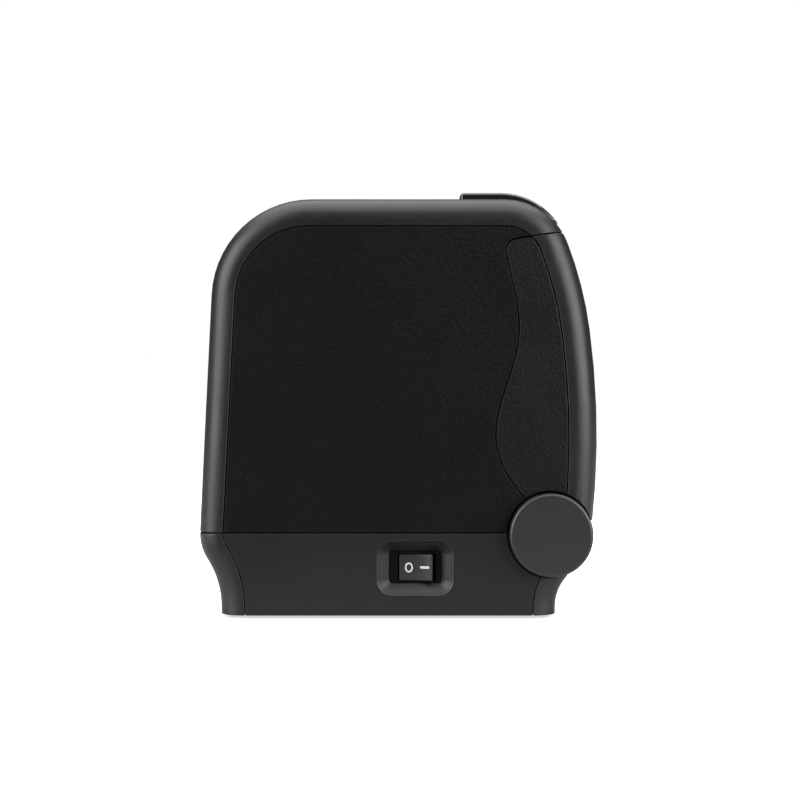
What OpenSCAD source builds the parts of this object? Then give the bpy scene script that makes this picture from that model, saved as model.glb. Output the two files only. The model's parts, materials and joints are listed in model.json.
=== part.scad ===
// Desktop thermal receipt printer with a front door, a drop-in paper bucket and a cutter.
// The front faces -Y and +Z is up. The origin is under the middle of the body, on the table.

/* [Covers] */
// Width over the side panels
body_w = 136; // [124:1:164]
// Wall of the moulded covers
wall = 2.2; // [1.8:0.1:2.6]
// Radius of the rounded side edges of the wrap
edge_r = 8; // [6.5:0.5:9]
// Width of the wrap's band on the side at the rear, to the part line
band_w = 8.8; // [8.5:0.1:11]
// Width of the wrap's band on the side along the top
band_top_w = 10.1; // [9:0.1:12]
// Width of the wrap's band on the side down the door
band_front_w = 10.4; // [9:0.1:12]
// Gap at the part lines between covers
part_gap = 0.35; // [0.25:0.05:0.5]
// Height of the base from its lower edge to the seam
base_h = 29; // [27:0.5:33]
// Height of the top cover above the seam
cover_h = 117.7; // [112:0.5:142]
// Length of the flat top between its corners
flat_top = 68.4; // [64:0.5:84]
// Radius of the rear upper corner
rear_r = 35.5; // [30:0.5:40]
// Forward lean of the rear wall in degrees
rear_lean = 2.8; // [1:0.1:4]
// Radius of the front upper corner
front_r = 24; // [23:0.5:25]
// Height that the feet stand proud of the base
foot_proud = 1.2; // [0.8:0.1:2]

/* [Front door] */
// Radius of the upper bulge of the door front
bulge_upper_r = 135; // [120:5:160]
// Radius of the lower bulge of the door front
bulge_lower_r = 290; // [240:10:340]
// Drop of the door seam below the top, at its rear end
door_seam_drop = 13.9; // [13:0.1:16]
// Rise of the door seam towards the front in degrees
door_seam_rise = 9.3; // [8:0.1:11]
// Setback of the hinge axis from the door front
hinge_setback = 17; // [16.5:0.1:18]
// Drop of the hinge axis below the seam
hinge_drop = 0.7; // [0:0.1:1.5]
// Radius of the round hinge caps
cap_r = 14.6; // [14:0.1:15]
// Height that the hinge caps stand proud of the sides
cap_proud = 4.5; // [3:0.1:6]
// Radius of the hinge pins
pin_r = 3; // [2:0.1:4]

/* [Paper] */
// Width of the paper roll that the bucket takes
paper_w = 80; // [72:1:82]
// Radius of the paper roll that the bucket takes
roll_r = 40; // [36:0.5:41]
// Width of the paper exit slot, front to back
exit_gap = 4.4; // [4.3:0.1:5]

/* [Print mechanism] */
// Radius of the rubber platen roller
platen_r = 5.75; // [5:0.05:6.6]
// Radius of the platen shaft
shaft_r = 2.5; // [2:0.1:3]
// Module of the small gears
gear_m = 0.8; // [0.6:0.1:0.9]
// Teeth of the feed pinion
pinion_teeth = 12; // [10:1:14]
// Teeth of the idler gear
idler_teeth = 28; // [24:1:30]
// Teeth of the platen gear
platen_teeth = 20; // [16:1:22]
// Radius of the feed motor
feed_motor_r = 12.5; // [10:0.5:12.5]
// Travel of the moving cutter blade
cut_travel = 8; // [7:0.5:9]
// Teeth of the cutter shaft's pinions
rack_pinion_teeth = 12; // [10:1:13]
// Teeth of the cutter gear
cutter_gear_teeth = 30; // [26:1:30]

/* [Top bezel and buttons] */
// Width of the gloss bezel
bezel_w = 96; // [94:1:104]
// Height that the bezel stands proud of the top cover
bezel_proud = 3.8; // [3:0.1:5]
// Length of the bezel's flat top
bezel_flat = 14.7; // [14:0.1:18]
// Travel of the cover-open button
open_travel = 2.5; // [2:0.1:2.8]
// Width of the cover-open button
open_w = 18; // [14:1:22]
// Radius of the feed button
feed_r = 4.6; // [3.5:0.1:5]

/* [Power switch] */
// Width of the switch recess
recess_w = 25.8; // [24.6:0.2:30]
// Height of the switch recess
recess_h = 18.3; // [17:0.1:20.5]
// Width of the switch body in the recess
frame_w = 18; // [16.5:0.1:20]
// Height of the switch body in the recess
frame_h = 11; // [10.7:0.1:13]
// Width of the rocker
rocker_w = 12.6; // [11:0.1:13.5]
// Height of the rocker
rocker_h = 9.5; // [8:0.1:9.8]

/* [Sockets] */
// Width of the socket bay at the rear
bay_w = 92; // [88:1:100]
// Height of the socket bay at the rear
bay_h = 18; // [17:0.5:19]

/* [Hidden] */
$fn = 48;
eps = 0.01;
far = 200;

// Heights
base_z = foot_proud;
seam_z = base_z + base_h;
base_top_z = seam_z - part_gap;
top_z = seam_z + cover_h;
half_w = body_w / 2;
in_w = half_w - wall;

// Points in the side view (y, z) round an arc, each with its outward normal.
// A negative radius gives a hollow curve.
function arc(c, r, a0, a1, n) =
    [for (i = [0:n]) let (u = [cos(a0 + (a1 - a0) * i / n), sin(a0 + (a1 - a0) * i / n)]) [c + r * u, u]];
function tail(list, from = 1) = [for (i = [from:len(list) - 1]) list[i]];
function reverse(list) = [for (i = [len(list) - 1:-1:0]) list[i]];
function inset(rail, d) = [for (q = rail) q[0] - d * q[1]];
function points(rail) = inset(rail, 0);
// Width of the side band where the outline's outward normal is u, and the part line along a rail
function band_at(u) = let (a = atan2(u[1], -u[0]))
    a > 90 ? band_top_w + (band_w - band_top_w) * (a - 90) / 90
        : band_front_w + (band_top_w - band_front_w) * max(0, a - 20) / 70;
function part_line(rail, g) = [for (q = rail) q[0] - (band_at(q[1]) + g) * q[1]];
function bezier(p, n) =
    [for (i = [0:n]) let (t = i / n, u = 1 - t)
        u * u * u * p[0] + 3 * u * u * t * p[1] + 3 * u * t * t * p[2] + t * t * t * p[3]];

// Side outline of the covers, from the rear seam over the top and down the door
corner_turn = 68.9;
front_rise = 29.51;
door_foot_z = seam_z - hinge_drop + 4.7;
rear_c = [flat_top / 2 - 3.4, top_z - rear_r];
front_c = [rear_c[0] - flat_top, top_z - front_r];
rear_top = rear_c + rear_r * [cos(rear_lean), sin(rear_lean)];
rear_foot = [rear_top[0] + (rear_top[1] - seam_z) * tan(rear_lean), seam_z];
upper_a = 90 + corner_turn;
upper_c = front_c + (front_r - bulge_upper_r) * [cos(upper_a), sin(upper_a)];
lower_a = 180 - asin((upper_c[1] - door_foot_z - front_rise) / (bulge_lower_r - bulge_upper_r));
lower_c = upper_c + (bulge_upper_r - bulge_lower_r) * [cos(lower_a), sin(lower_a)];
front_y = lower_c[0] - bulge_lower_r;
hinge = [front_y + hinge_setback, seam_z - hinge_drop];
foot_a = 180 + asin((lower_c[1] - door_foot_z) / bulge_lower_r);
cover_rail = concat(
    [[rear_foot, [1 / cos(rear_lean), 0]]],
    arc(rear_c, rear_r, rear_lean, 90, 14),
    arc(front_c, front_r, 90, upper_a, 10)
);
door_rail = concat(
    arc(front_c, front_r, 132, upper_a, 4),
    tail(arc(upper_c, bulge_upper_r, upper_a, lower_a, 4)),
    tail(arc(lower_c, bulge_lower_r, lower_a, foot_a - 2.5, 4)),
    [[lower_c + bulge_lower_r * [cos(foot_a), sin(foot_a)], [1 / cos(foot_a), 0]]]
);

// Side outline of the base flare, from its foot up to the seam
flare_lean = 33;
flare_top_r = 16;
flare_foot_r = 31.6;
flare_top_c = [rear_foot[0] - flare_top_r, base_top_z - 0.6];
flare_foot_c = flare_top_c + (flare_top_r + flare_foot_r) * [cos(flare_lean), -sin(flare_lean)];
rear_flare = concat(
    [[[flare_foot_c[0] - flare_foot_r, base_z], [1, 0]]],
    arc(flare_foot_c, -flare_foot_r, 0, -flare_lean, 8),
    tail(arc(flare_top_c, flare_top_r, -flare_lean, 0, 6)),
    [[[rear_foot[0], base_top_z], [1, 0]]]
);
base_front_y = front_y + 14.9;
base_rear_y = rear_flare[0][0][0];

// Side outline of the front flare, from the seam down to its foot, and where it ends below the hinge
front_lean = 47;
front_top_r = 12;
front_foot_r = 16;
front_foot_c = [base_front_y - front_foot_r, flare_foot_c[1]];
front_top_c = front_foot_c + (front_top_r + front_foot_r) * [cos(front_lean), sin(front_lean)];
front_flare = concat(
    [[[front_top_c[0] - front_top_r, base_top_z], [-1, 0]]],
    arc(front_top_c, front_top_r, 180, 180 + front_lean, 6),
    tail(arc(front_foot_c, -front_foot_r, 180 + front_lean, 180, 8)),
    [[[base_front_y, base_z], [-1, 0]]]
);
front_band = 8.2;
front_end = 246.5;

// Door seam and the wavy rear edge of the leaf-shaped cheek
seam_y = front_y + 25;
function door_seam(y) = top_z - door_seam_drop + (seam_y - y) * tan(door_seam_rise);
seam_hit = asin((top_z - door_seam_drop - front_c[1] + (seam_y - front_c[0]) * tan(door_seam_rise)) * cos(door_seam_rise) / front_r);
seam_a = 180 - seam_hit - door_seam_rise - 0.22;
leaf_corner_r = 4;
leaf_top = [seam_y + 7.5, door_seam(seam_y + 7.5) - 2.9];
leaf_rise = leaf_top[1] - hinge[1];
leaf_waist = [front_y + 27.8, hinge[1] + 0.716 * leaf_rise];
leaf_belly = [front_y + 36.1, hinge[1] + 0.346 * leaf_rise];
leaf_foot = hinge + [7.9, 11.4];
function leaf_edge(g) = [for (p = concat(
    bezier([leaf_top - [0, 1.2], leaf_top - [1.2, 9], leaf_waist + [0, 11], leaf_waist], 6),
    tail(bezier([leaf_waist, leaf_waist - [0, 13], leaf_belly + [0, 13], leaf_belly], 6)),
    tail(bezier([leaf_belly, leaf_belly - [0, 9], leaf_foot + [6.5, 7.5], leaf_foot], 5))
)) p + [g, 0]];

// Hinge
ring_gap = 0.6;
ring_r = cap_r + ring_gap;
nose_r = 13.7;
nose_wall = 2.4;
disc_r = cap_r - 0.4;
run = 0.3;
nose_x = 60.2 - 68 + half_w;
disc_x = in_w - 0.5;
arm_x0 = nose_x + run;
arm_x1 = arm_x0 + 2;
fit = 0.05;

// Paper path and rollers
paper_y = front_y + 16.9 + 2 * platen_r;
nip_gap = 0.15;
blade_z = top_z - 13.7;
platen = [paper_y - nip_gap - platen_r, blade_z - 1.95 - platen_r];
platen_half = paper_w / 2 + 1.4;
roll_c = [2, seam_z - 6 + roll_r + 4];
cheek_x = platen_half + 0.3;
bracket_x = platen_half + 0.9;
bracket_t = 1.2;
plate_x = platen_half + 3.6;
plate_t = 1.2;
bush_r = 4;
bush_x0 = bracket_x + bracket_t + 0.4;
bush_x1 = plate_x + plate_t + 1;
gear_x0 = bush_x1 + 0.4;
gear_w = 4;

// Gear train
gear_play = 0.05;
function pitch_r(n) = n * gear_m / 2;
open_dir = atan2(platen[0] - hinge[0], platen[1] - hinge[1]);
idler_d = pitch_r(platen_teeth) + pitch_r(idler_teeth) + gear_play;
idler = platen + idler_d * [cos(open_dir), -sin(open_dir)];
motor_dir = -11;
motor_d = pitch_r(idler_teeth) + pitch_r(pinion_teeth) + gear_play;
feed_axis = idler + motor_d * [cos(motor_dir), sin(motor_dir)];

// Cutter drive
cutter_z = blade_z + 1.2;
blade_t = 0.8;
blade_rear = paper_y + 16;
rack_line = cutter_z - 0.2;
cutter_axis = [paper_y + 29, rack_line - pitch_r(rack_pinion_teeth)];
cutter_pinion_teeth = 10;
cutter_motor_dir = -30;
cutter_motor_d = pitch_r(cutter_gear_teeth) + pitch_r(cutter_pinion_teeth) + gear_play;
cutter_motor_axis = cutter_axis + cutter_motor_d * [cos(cutter_motor_dir), sin(cutter_motor_dir)];
cutter_shaft_r = 1.5;
cutter_motor_r = 9.5;
rack_x = 16;
rack_w = 3.6;
drive_x = -26;
drive_w = 3;

// Thermal head
strip_y = paper_y + nip_gap;
strip_t = 0.95;
sink_y = strip_y + strip_t;
sink_t = 4.5;
head_half = platen_half + 1.5;
head_pivot = [sink_y + 2.3, platen[1] - 9.5];
head_pin_r = 1.5;
spring_plate_y = sink_y + sink_t + 8.1;
spring_r = 2.2;
spring_wire = 0.6;
spring_curls = 6;

// Bezel
bezel_rear = front_y + 48;
bezel_top = top_z + bezel_proud;
bezel_r = 25;
bezel_c = [bezel_rear - bezel_flat, bezel_top - bezel_r];
bezel_foot = top_z - 7.2;
bezel_skin = 2;
slot_rear = paper_y + 2.5;
slot_front = slot_rear - exit_gap - 0.7;
lip_half = platen_half + 1.4;
lip_gap = 0.25;
bezel_rail = arc(bezel_c, bezel_r, 90, 90 + acos((bezel_foot - bezel_c[1]) / bezel_r), 9);
open_x = 31;
open_y = bezel_rear - 8.2;
open_d = 9;
feed_x = -34;
led_x = [-22, -16, -10];
led_r = 1.5;
button_gap = 0.3;

// Latch
latch_axis = [bezel_rear - 12.2, top_z - 6.2];
latch_shaft_r = 1.5;
latch_pin = [hinge[0] + 6.9, platen[1] + 2.4];
latch_pin_r = 1.5;
hook_x0 = gear_x0 + gear_w + 2.4;
hook_w = 3;

// Boards and sockets
board_z = base_z + 6.3;
board_t = 1.6;
board_rear = base_rear_y - 6;
plate_y = base_rear_y - 4.3;
bay_z = base_z + 4.8;

// Power switch
switch_y = -5.9;
switch_z = base_z + 16.65;
rocker_c = [switch_y - 0.6, switch_z - 0.15];
recess_depth = 4;
rocker_tilt = 12;

module slab(x0, x1) translate([x0, 0, 0]) rotate([90, 0, 90]) linear_extrude(x1 - x0) children();
module both() {
    children();
    mirror([1, 0, 0]) children();
}
module rod(x0, x1, c, r) translate([x0, c[0], c[1]]) rotate([0, 90, 0]) cylinder(r = r, h = x1 - x0);
module post(x, y, z0, z1, r) translate([x, y, z0]) cylinder(r = r, h = z1 - z0);
module box(x, y, z) translate([x[0], y[0], z[0]]) cube([x[1] - x[0], y[1] - y[0], z[1] - z[0]]);
module disc2(c, r) translate(c) circle(r);

// The wrap's channel section: depth below the outline, and distance across the width
function round_corner(r, d) =
    [for (i = [0:5]) let (t = 18 * i) [edge_r - r * sin(t), half_w - edge_r + r * cos(t)]];
function half_section(band, r, side) = concat([[band, side]], round_corner(r, 0));
function flip(list) = [for (p = reverse(list)) [p[0], -p[1]]];
function section(band, r, side) = concat(half_section(band, r, side), flip(half_section(band, r, side)));

// The channel swept along a rail of the side view. A band of -1 follows band_at.
module channel(rail, band = -1) {
    outer = section(band, edge_r, half_w);
    inner = section(band, edge_r - wall, in_w);
    k = len(outer);
    loop = concat(outer, reverse(inner));
    m = len(loop);
    last = (len(rail) - 1) * m;
    verts = [for (q = rail, c = loop) let (d = c[0] < 0 ? band_at(q[1]) : c[0])
        [c[1], q[0][0] - d * q[1][0], q[0][1] - d * q[1][1]]];
    sides = [for (i = [0:len(rail) - 2], j = [0:m - 1], h = [0, 1])
        let (a = i * m + j, b = i * m + (j + 1) % m) h == 0 ? [a, b + m, b] : [a, a + m, b + m]];
    first_cap = [for (j = [0:k - 2]) [j + 1, m - 2 - j, m - 1 - j, j]];
    last_cap = [for (f = first_cap) last * [1, 1, 1, 1] + [f[3], f[2], f[1], f[0]]];
    polyhedron(verts, concat(sides, first_cap, last_cap));
}

// Outlines in the side view
module below_door_seam(g, y1 = leaf_top[0] + 1)
    polygon([[-far, 0], [-far, door_seam(-far) - g], [y1, door_seam(y1) - g], [y1, 0]]);
module leaf_zone(g) {
    r = leaf_corner_r;
    c = [leaf_top[0] - r, door_seam(leaf_top[0]) - r + 0.35];
    polygon(concat(
        [for (a = [85:-17:0]) c + (r + g) * [cos(a), sin(a)]],
        leaf_edge(g),
        [hinge, [-far, hinge[1]], [-far, door_seam(-far) + g]]
    ));
}
// Outline of the side panels, drawn in by g at the part lines
module panel_outline(g) difference() {
    intersection() {
        polygon(concat(
            [[rear_foot[0] - band_w - g, 0]],
            part_line(concat(cover_rail, tail(door_rail, 5)), g),
            [[front_y + band_front_w, 0]]
        ));
        translate([-far, seam_z + g - part_gap]) square(2 * far);
    }
    leaf_zone(g);
    disc2(hinge, max(ring_r + g - part_gap, disc_r + run));
}
// A side panel in its own outline, with a ledge inside that closes the part lines.
// Children: its outline, the outline of the ledge, the outline within the ledge.
ledge_reach = 1.3;
ledge_w = 1.5;
module inlay(s) mirror([s > 0 ? 0 : 1, 0, 0]) {
    slab(in_w, half_w) children(0);
    slab(in_w - run - 1.2, in_w - run) difference() {
        children(1);
        children(2);
    }
    slab(in_w - run - 0.1, in_w + eps) difference() {
        intersection() {
            children(0);
            children(1);
        }
        children(2);
    }
}

// Base tray: floor, posts, hinge nose and the tunnel of the sockets
floor_t = 2.2;
bucket_z = roll_c[1] - roll_r - 5;
web_y = base_front_y + wall + 0.2;
module base_shell() color("#2b2a2c") difference() {
    union() {
        floor_plate();
        rod(-nose_x, nose_x, hinge, nose_r);
        box([-nose_x, nose_x], [web_y, web_y + wall], [base_z + 1, hinge[1] - nose_r + 1]);
        both() for (y = board_post_y) post(board_half - 4, y, base_z + 1, board_z, 3.2);
        both() for (y = bucket_post_y) post(bucket_post_x, y, base_z + 1, bucket_z, 4.2);
        socket_bay();
        box([-bay_w / 2 - 1.8, bay_w / 2 + 1.8], [rear_foot[0] - wall - 2.2, rear_foot[0] - wall - 0.7], [bay_z + bay_h, seam_z + 1.6]);
    }
    rod(-bore_x, bore_x, hinge, nose_r - nose_wall);
    slab(-plate_x - 1, plate_x + 1) polygon([hinge, hinge + [-far, 40], hinge + [-far, far], hinge + [far, far], hinge + [far, -20]]);
    rod(-far, far, hinge, pin_r + fit);
    box([-bay_w / 2, bay_w / 2], [plate_y - 1, far], [bay_z, bay_z + bay_h]);
    both() for (y = foot_y) post(foot_x, y, base_z - 1, base_z + 0.9, 6.5);
    both() for (y = [-30, 30]) post(bracket_hole_x, y, base_z - 1, base_z + floor_t + 1, 1.6);
    both() for (y = bucket_post_y) post(bucket_post_x, y, base_z - 1, bucket_z + 1, 1.25);
    both() for (y = bucket_post_y) post(bucket_post_x, y, base_z - 1, base_z + 1.6, 3);
}
module floor_plate() translate([0, 0, base_z]) linear_extrude(floor_t) {
    r = edge_r - wall;
    w = in_w - part_gap;
    y0 = base_front_y + wall + 0.2;
    y1 = base_rear_y - wall - 0.2;
    translate([-w + r, y0]) square([2 * (w - r), y1 - y0]);
    translate([-w, y0 + r]) square([2 * w, y1 - y0 - 2 * r]);
    for (s = [-1, 1], y = [y0 + r, y1 - r]) translate([s * (w - r), y]) circle(r);
}
bore_x = nose_x - 6.5;
foot_x = 52;
foot_y = [-36, 42];
bracket_hole_x = 35;
board_half = 42.5;
board_post_y = [-14, 44];
bucket_post_x = 49;
bucket_post_y = [-24, 24];
// Tunnel that leads from the rear flare in to the socket plate
module socket_bay() difference() {
    box([-bay_w / 2 - 1.8, bay_w / 2 + 1.8], [plate_y, far / 2], [base_z + 1, bay_z + bay_h + 1.8]);
    box([-bay_w / 2 - far, bay_w / 2 + far], [base_rear_y - wall - 0.2, far], [0, bay_z - 1.8]);
    slab(-far, far) polygon(concat([[far, 0]], inset(rear_flare, 0.1), [[far, base_top_z]]));
}
module base_front_flare() color("#2d2c2e") difference() {
    channel(front_flare, front_band);
    rod(-far, far, hinge, nose_r + 0.5);
    both() rod(nose_x, far, hinge, ring_r);
    slab(-far, far) polygon([
        hinge, hinge + far * [cos(front_end), sin(front_end)], hinge + [-far, -far], hinge + [-far, far], hinge + [0, far]
    ]);
}
module base_rear_flare() color("#2d2c2e") difference() {
    channel(rear_flare, band_w);
    box([-bay_w / 2 - 1.9, bay_w / 2 + 1.9], [plate_y - 1, far], [bay_z - 1.9, bay_z + bay_h + 1.9]);
}

// Outline of the base skirts, drawn in by g at the part lines
module skirt_outline(g) difference() {
    polygon(concat(inset(rear_flare, band_w + g), inset(front_flare, front_band + g)));
    disc2(hinge, max(ring_r + g - part_gap, disc_r + run));
}
module skirt(s) inlay(s) {
    skirt_outline(part_gap);
    intersection() {
        skirt_outline(-ledge_reach);
        translate([-far, base_z + floor_t + run]) square([2 * far, base_h - floor_t - ledge_reach - 1.2]);
    }
    skirt_outline(part_gap + ledge_w);
}
// A rounded oblong in the plane of the left side, its depth measured in from that side
module oblong(w, h, r, d0, d1, c = [switch_y, switch_z])
    translate([-half_w + d0, c[0], c[1]]) rotate([90, 0, 90]) linear_extrude(d1 - d0) {
        square([w - 2 * r, h], center = true);
        square([w, h - 2 * r], center = true);
        for (a = [-1, 1], b = [-1, 1]) translate([a * (w / 2 - r), b * (h / 2 - r)]) circle(r);
    }
module base_skirt_left() color("#323133") difference() {
    union() {
        skirt(-1);
        oblong(recess_w + 1.6, recess_h + 1.6, 5, 1, recess_depth + 1.4);
    }
    hull() {
        oblong(recess_w + 1, recess_h + 1, 5.4, -1, -0.05);
        oblong(recess_w, recess_h, 4.9, 0.45, 0.55);
    }
    hull() {
        oblong(recess_w, recess_h, 4.9, 0.4, 0.5);
        oblong(frame_w + 0.3, frame_h + 0.3, 1.3, recess_depth - 0.1, recess_depth);
    }
    oblong(frame_w + 0.3, frame_h + 0.3, 1.3, 0, far / 10);
}
module base_skirt_right() color("#323133") skirt(1);

module rubber_feet() color("#1c1c1c")
    both() for (y = foot_y) post(foot_x, y, 0, base_z + 0.9, 6.2);
module base_screws() color("silver") both() for (y = bucket_post_y) {
    difference() {
        post(bucket_post_x, y, base_z + 0.2, base_z + 1.6, 2.7);
        translate([bucket_post_x, y, base_z]) for (a = [0, 90]) rotate(a) cube([3, 0.7, 1.6], center = true);
    }
    post(bucket_post_x, y, base_z + 1.5, bucket_z + 2.6, 1.2);
}

module top_cover() color("#2a292b") difference() {
    channel(cover_rail);
    slab(-far, far) below_door_seam(0, front_c[0] + 1);
    box([-bezel_w / 2 - lip_gap, bezel_w / 2 + lip_gap], [-far, bezel_rear + lip_gap], [bezel_foot - lip_gap, far]);
    box([-lip_half - lip_gap, lip_half + lip_gap], [-far, front_c[0] - 0.6], [top_z - 40, far]);
}
module side_panel(s) inlay(s) {
    panel_outline(part_gap);
    panel_outline(-ledge_reach);
    panel_outline(part_gap + ledge_w);
}
module side_panel_left() color("#252425") side_panel(-1);
module side_panel_right() color("#252425") side_panel(1);

// Gloss bezel round the paper slot: rear bar with the buttons and two arms over the corner
module control_bezel() color("#121214") difference() {
    union() {
        difference() {
            slab(-bezel_w / 2, bezel_w / 2) difference() {
                polygon(concat(
                    [[bezel_rear, top_z - wall], [bezel_rear, bezel_top - 0.9], [bezel_rear - 0.9, bezel_top]],
                    points(bezel_rail),
                    [[front_c[0] - 14, bezel_foot], [front_c[0] - 8, top_z - wall - 3]]
                ));
                circle_under_cover();
            }
            box([-bezel_w / 2 + bezel_skin, bezel_w / 2 - bezel_skin],
                [slot_rear + bezel_skin, bezel_rear - bezel_skin], [0, bezel_top - bezel_skin]);
            box([-lip_half - lip_gap, lip_half + lip_gap], [-far, slot_rear], [0, far]);
        }
        box([-lip_half - lip_gap - eps, lip_half + lip_gap + eps], [slot_rear, slot_rear + bezel_skin],
            [cutter_z + blade_t + 1.4, bezel_top - bezel_skin + eps]);
    }
    box([open_x - open_w / 2 - button_gap, open_x + open_w / 2 + button_gap],
        [open_y - open_d / 2 - button_gap, open_y + open_d / 2 + button_gap], [top_z, far]);
    post(feed_x, open_y, top_z, far, feed_r + button_gap);
    for (x = led_x) post(x, open_y, top_z, far, led_r + 0.05);
}
module circle_under_cover() {
    disc2(front_c, front_r - wall);
    polygon([[front_c[0], 0], [front_c[0], top_z - wall], [far, top_z - wall], [far, 0]]);
}
module led_lenses() color("#dfe6ea") for (x = led_x) {
    post(x, open_y, panel_z + board_t, bezel_top + 0.15, led_r);
}
panel_z = top_z - 5.1;
module panel_board() color("#1d5c33") {
    box([feed_x - feed_r - 2, -4], [open_y - 2.1, open_y + 4], [panel_z, panel_z + board_t]);
    box([feed_x - 2, feed_x + 2], [open_y - 2, open_y + 2], [panel_z + board_t - eps, panel_z + board_t + 1]);
}
module feed_button() color("#3c3c40") {
    difference() {
        post(feed_x, open_y, bezel_top - bezel_skin - 1.2, bezel_top + 0.7, feed_r);
        translate([feed_x, open_y, bezel_top + 0.7 + 18]) sphere(18.3, $fn = 96);
    }
    post(feed_x, open_y, panel_z + board_t + 2.5, bezel_top - bezel_skin - 1.2 + eps, 1.4);
}
module open_button() color("#3c3c40") {
    x0 = open_x - open_w / 2;
    difference() {
        box([x0, x0 + open_w], [open_y - open_d / 2, open_y + open_d / 2], [bezel_top - bezel_skin - 2.2, bezel_top + 0.8]);
        translate([x0 - 1, open_y, bezel_top + 0.8 + 14.6]) rotate([0, 90, 0]) cylinder(r = 15, h = open_w + 2, $fn = 96);
        box([x0 + 1.4, x0 + open_w - 1.4], [open_y - open_d / 2 + 1.4, open_y + open_d / 2 - 1.4],
            [bezel_top - bezel_skin - 3, bezel_top - 1.2]);
    }
    box([open_x - 3, open_x + 3], [plunger_y - 1, plunger_y + 1], [latch_axis[1] + 1.4, bezel_top - 1.2 + eps]);
}
plunger_y = open_y + 3.4;

module switch_frame() color("#0e0e0f") difference() {
    union() {
        oblong(frame_w, frame_h, 1.1, recess_depth + 0.1, recess_depth + 14);
        oblong(frame_w + 2.4, frame_h + 2, 1.4, recess_depth + 1.5, recess_depth + 2.7);
    }
    oblong(rocker_w + 0.8, rocker_h + 0.3, 0.6, 0, recess_depth + 7.5, rocker_c);
    post(rocker_x, rocker_c[0], switch_z - frame_h, switch_z + frame_h, pivot_r + 0.05);
}
module power_rocker() color("#1b1b1d") {
    w = rocker_w / 2 - 0.2;
    dip = 0.7;
    translate([rocker_x, rocker_c[0], rocker_c[1] - rocker_h / 2]) rotate(-rocker_tilt) linear_extrude(rocker_h) polygon(concat(
        [for (i = [-6:6]) [dip * (1 - pow(i / 6, 2)) - 2.2, w * i / 6]],
        [[3.2, w - 1.4], [3.2, 1.4 - w]]
    ));
    post(rocker_x, rocker_c[0], switch_z - frame_h / 2 + 0.1, switch_z + frame_h / 2 - 0.1, pivot_r);
}
rocker_x = -half_w + recess_depth + 1.2;
pivot_r = 0.9;

module hinge_cap(s) mirror([s > 0 ? 0 : 1, 0, 0])
    translate([in_w + 0.3, hinge[0], hinge[1]]) rotate([0, 90, 0]) {
        h = wall + cap_proud - 0.3;
        rotate_extrude() {
            square([cap_r - 1.2, h]);
            square([cap_r, h - 1.2]);
            translate([cap_r - 1.2, h - 1.2]) circle(1.2);
        }
        translate([0, 0, -0.8 - eps]) cylinder(r = 6, h = 1);
    }
module hinge_cap_left() color("#39383a") hinge_cap(-1);
module hinge_cap_right() color("#39383a") hinge_cap(1);
module hinge_pins() color("silver") both() rod(nose_x - 5.8, arm_x1 - 0.2, hinge, pin_r);

module door_shell() color("#2a292b") difference() {
    intersection() {
        channel(door_rail);
        slab(-far, far) below_door_seam(part_gap, front_c[0]);
    }
    both() rod(arm_x1 - 0.1, far, hinge, ring_r);
}
module cheek(s) slab(s > 0 ? in_w : -half_w, s > 0 ? half_w : -in_w) difference() {
    intersection() {
        leaf_zone(0);
        polygon(concat(part_line(door_rail, part_gap), [hinge, [leaf_belly[0] + 5, hinge[1]], [leaf_belly[0] + 5, top_z]]));
        below_door_seam(part_gap, leaf_top[0] + 10);
    }
    disc2(hinge, ring_r);
}
module door_cheek_left() color("#262527") cheek(-1);
module door_cheek_right() color("#262527") cheek(1);

// Inside moulding of the door: back plate, side arms with the hinge discs, roll ribs
liner_d = wall + 0.9;
liner_t = 2;
liner_top = blade_z - 7.4;
liner_foot = hinge[1] + 12.5;
module liner_region(d0, d1, z0, z1) intersection() {
    polygon(concat(inset(door_rail, d0), reverse(inset(door_rail, d1))));
    translate([-far, z0]) square([2 * far, z1 - z0]);
}
module door_liner() color("#303032") difference() {
    union() {
        slab(-arm_x1, arm_x1) liner_region(liner_d, liner_d + liner_t, liner_foot, liner_top);
        both() slab(arm_x0, arm_x1) difference() {
            union() {
                intersection() {
                    leaf_zone(-1.5);
                    polygon(concat(inset(door_rail, liner_d), [hinge, [0, hinge[1]], [0, liner_top + 12]]));
                    translate([-far, hinge[1]]) square([2 * far, liner_top + 7 - hinge[1]]);
                }
                disc2(hinge, nose_r - 0.4);
            }
            translate([front_y + 17, hinge[1] + 0.55 * leaf_rise]) circle(6);
        }
        both() rod(arm_x1 - eps, disc_x, hinge, disc_r);
        both() for (x = [9, 27])
            slab(x, x + 2) intersection() {
                polygon(concat(inset(door_rail, liner_d + liner_t - eps), [[roll_guide_y, liner_foot], [roll_guide_y, liner_top]]));
                hull() {
                    disc2([roll_guide_y - 6, liner_foot + 12], 6);
                    disc2([roll_guide_y - 6, liner_top - 27], 6);
                    disc2([front_y + 8, liner_foot + 4], 2);
                    disc2([front_y + 8, liner_top - 17], 2);
                }
            }
    }
    both() rod(0, arm_x1 - 0.2 + eps, hinge, pin_r + 0.02);
    both() rod(arm_x0 - 1, arm_x0 + 1.7, latch_pin, latch_pin_r + 0.02);
    both() rod(disc_x - 0.9, far, hinge, 6.1);
}
roll_guide_y = roll_c[0] - roll_r - 6.5;
module latch_pins() color("silver") both() rod(hook_x0 - 0.6, arm_x0 + 1.6, latch_pin, latch_pin_r);

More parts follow.
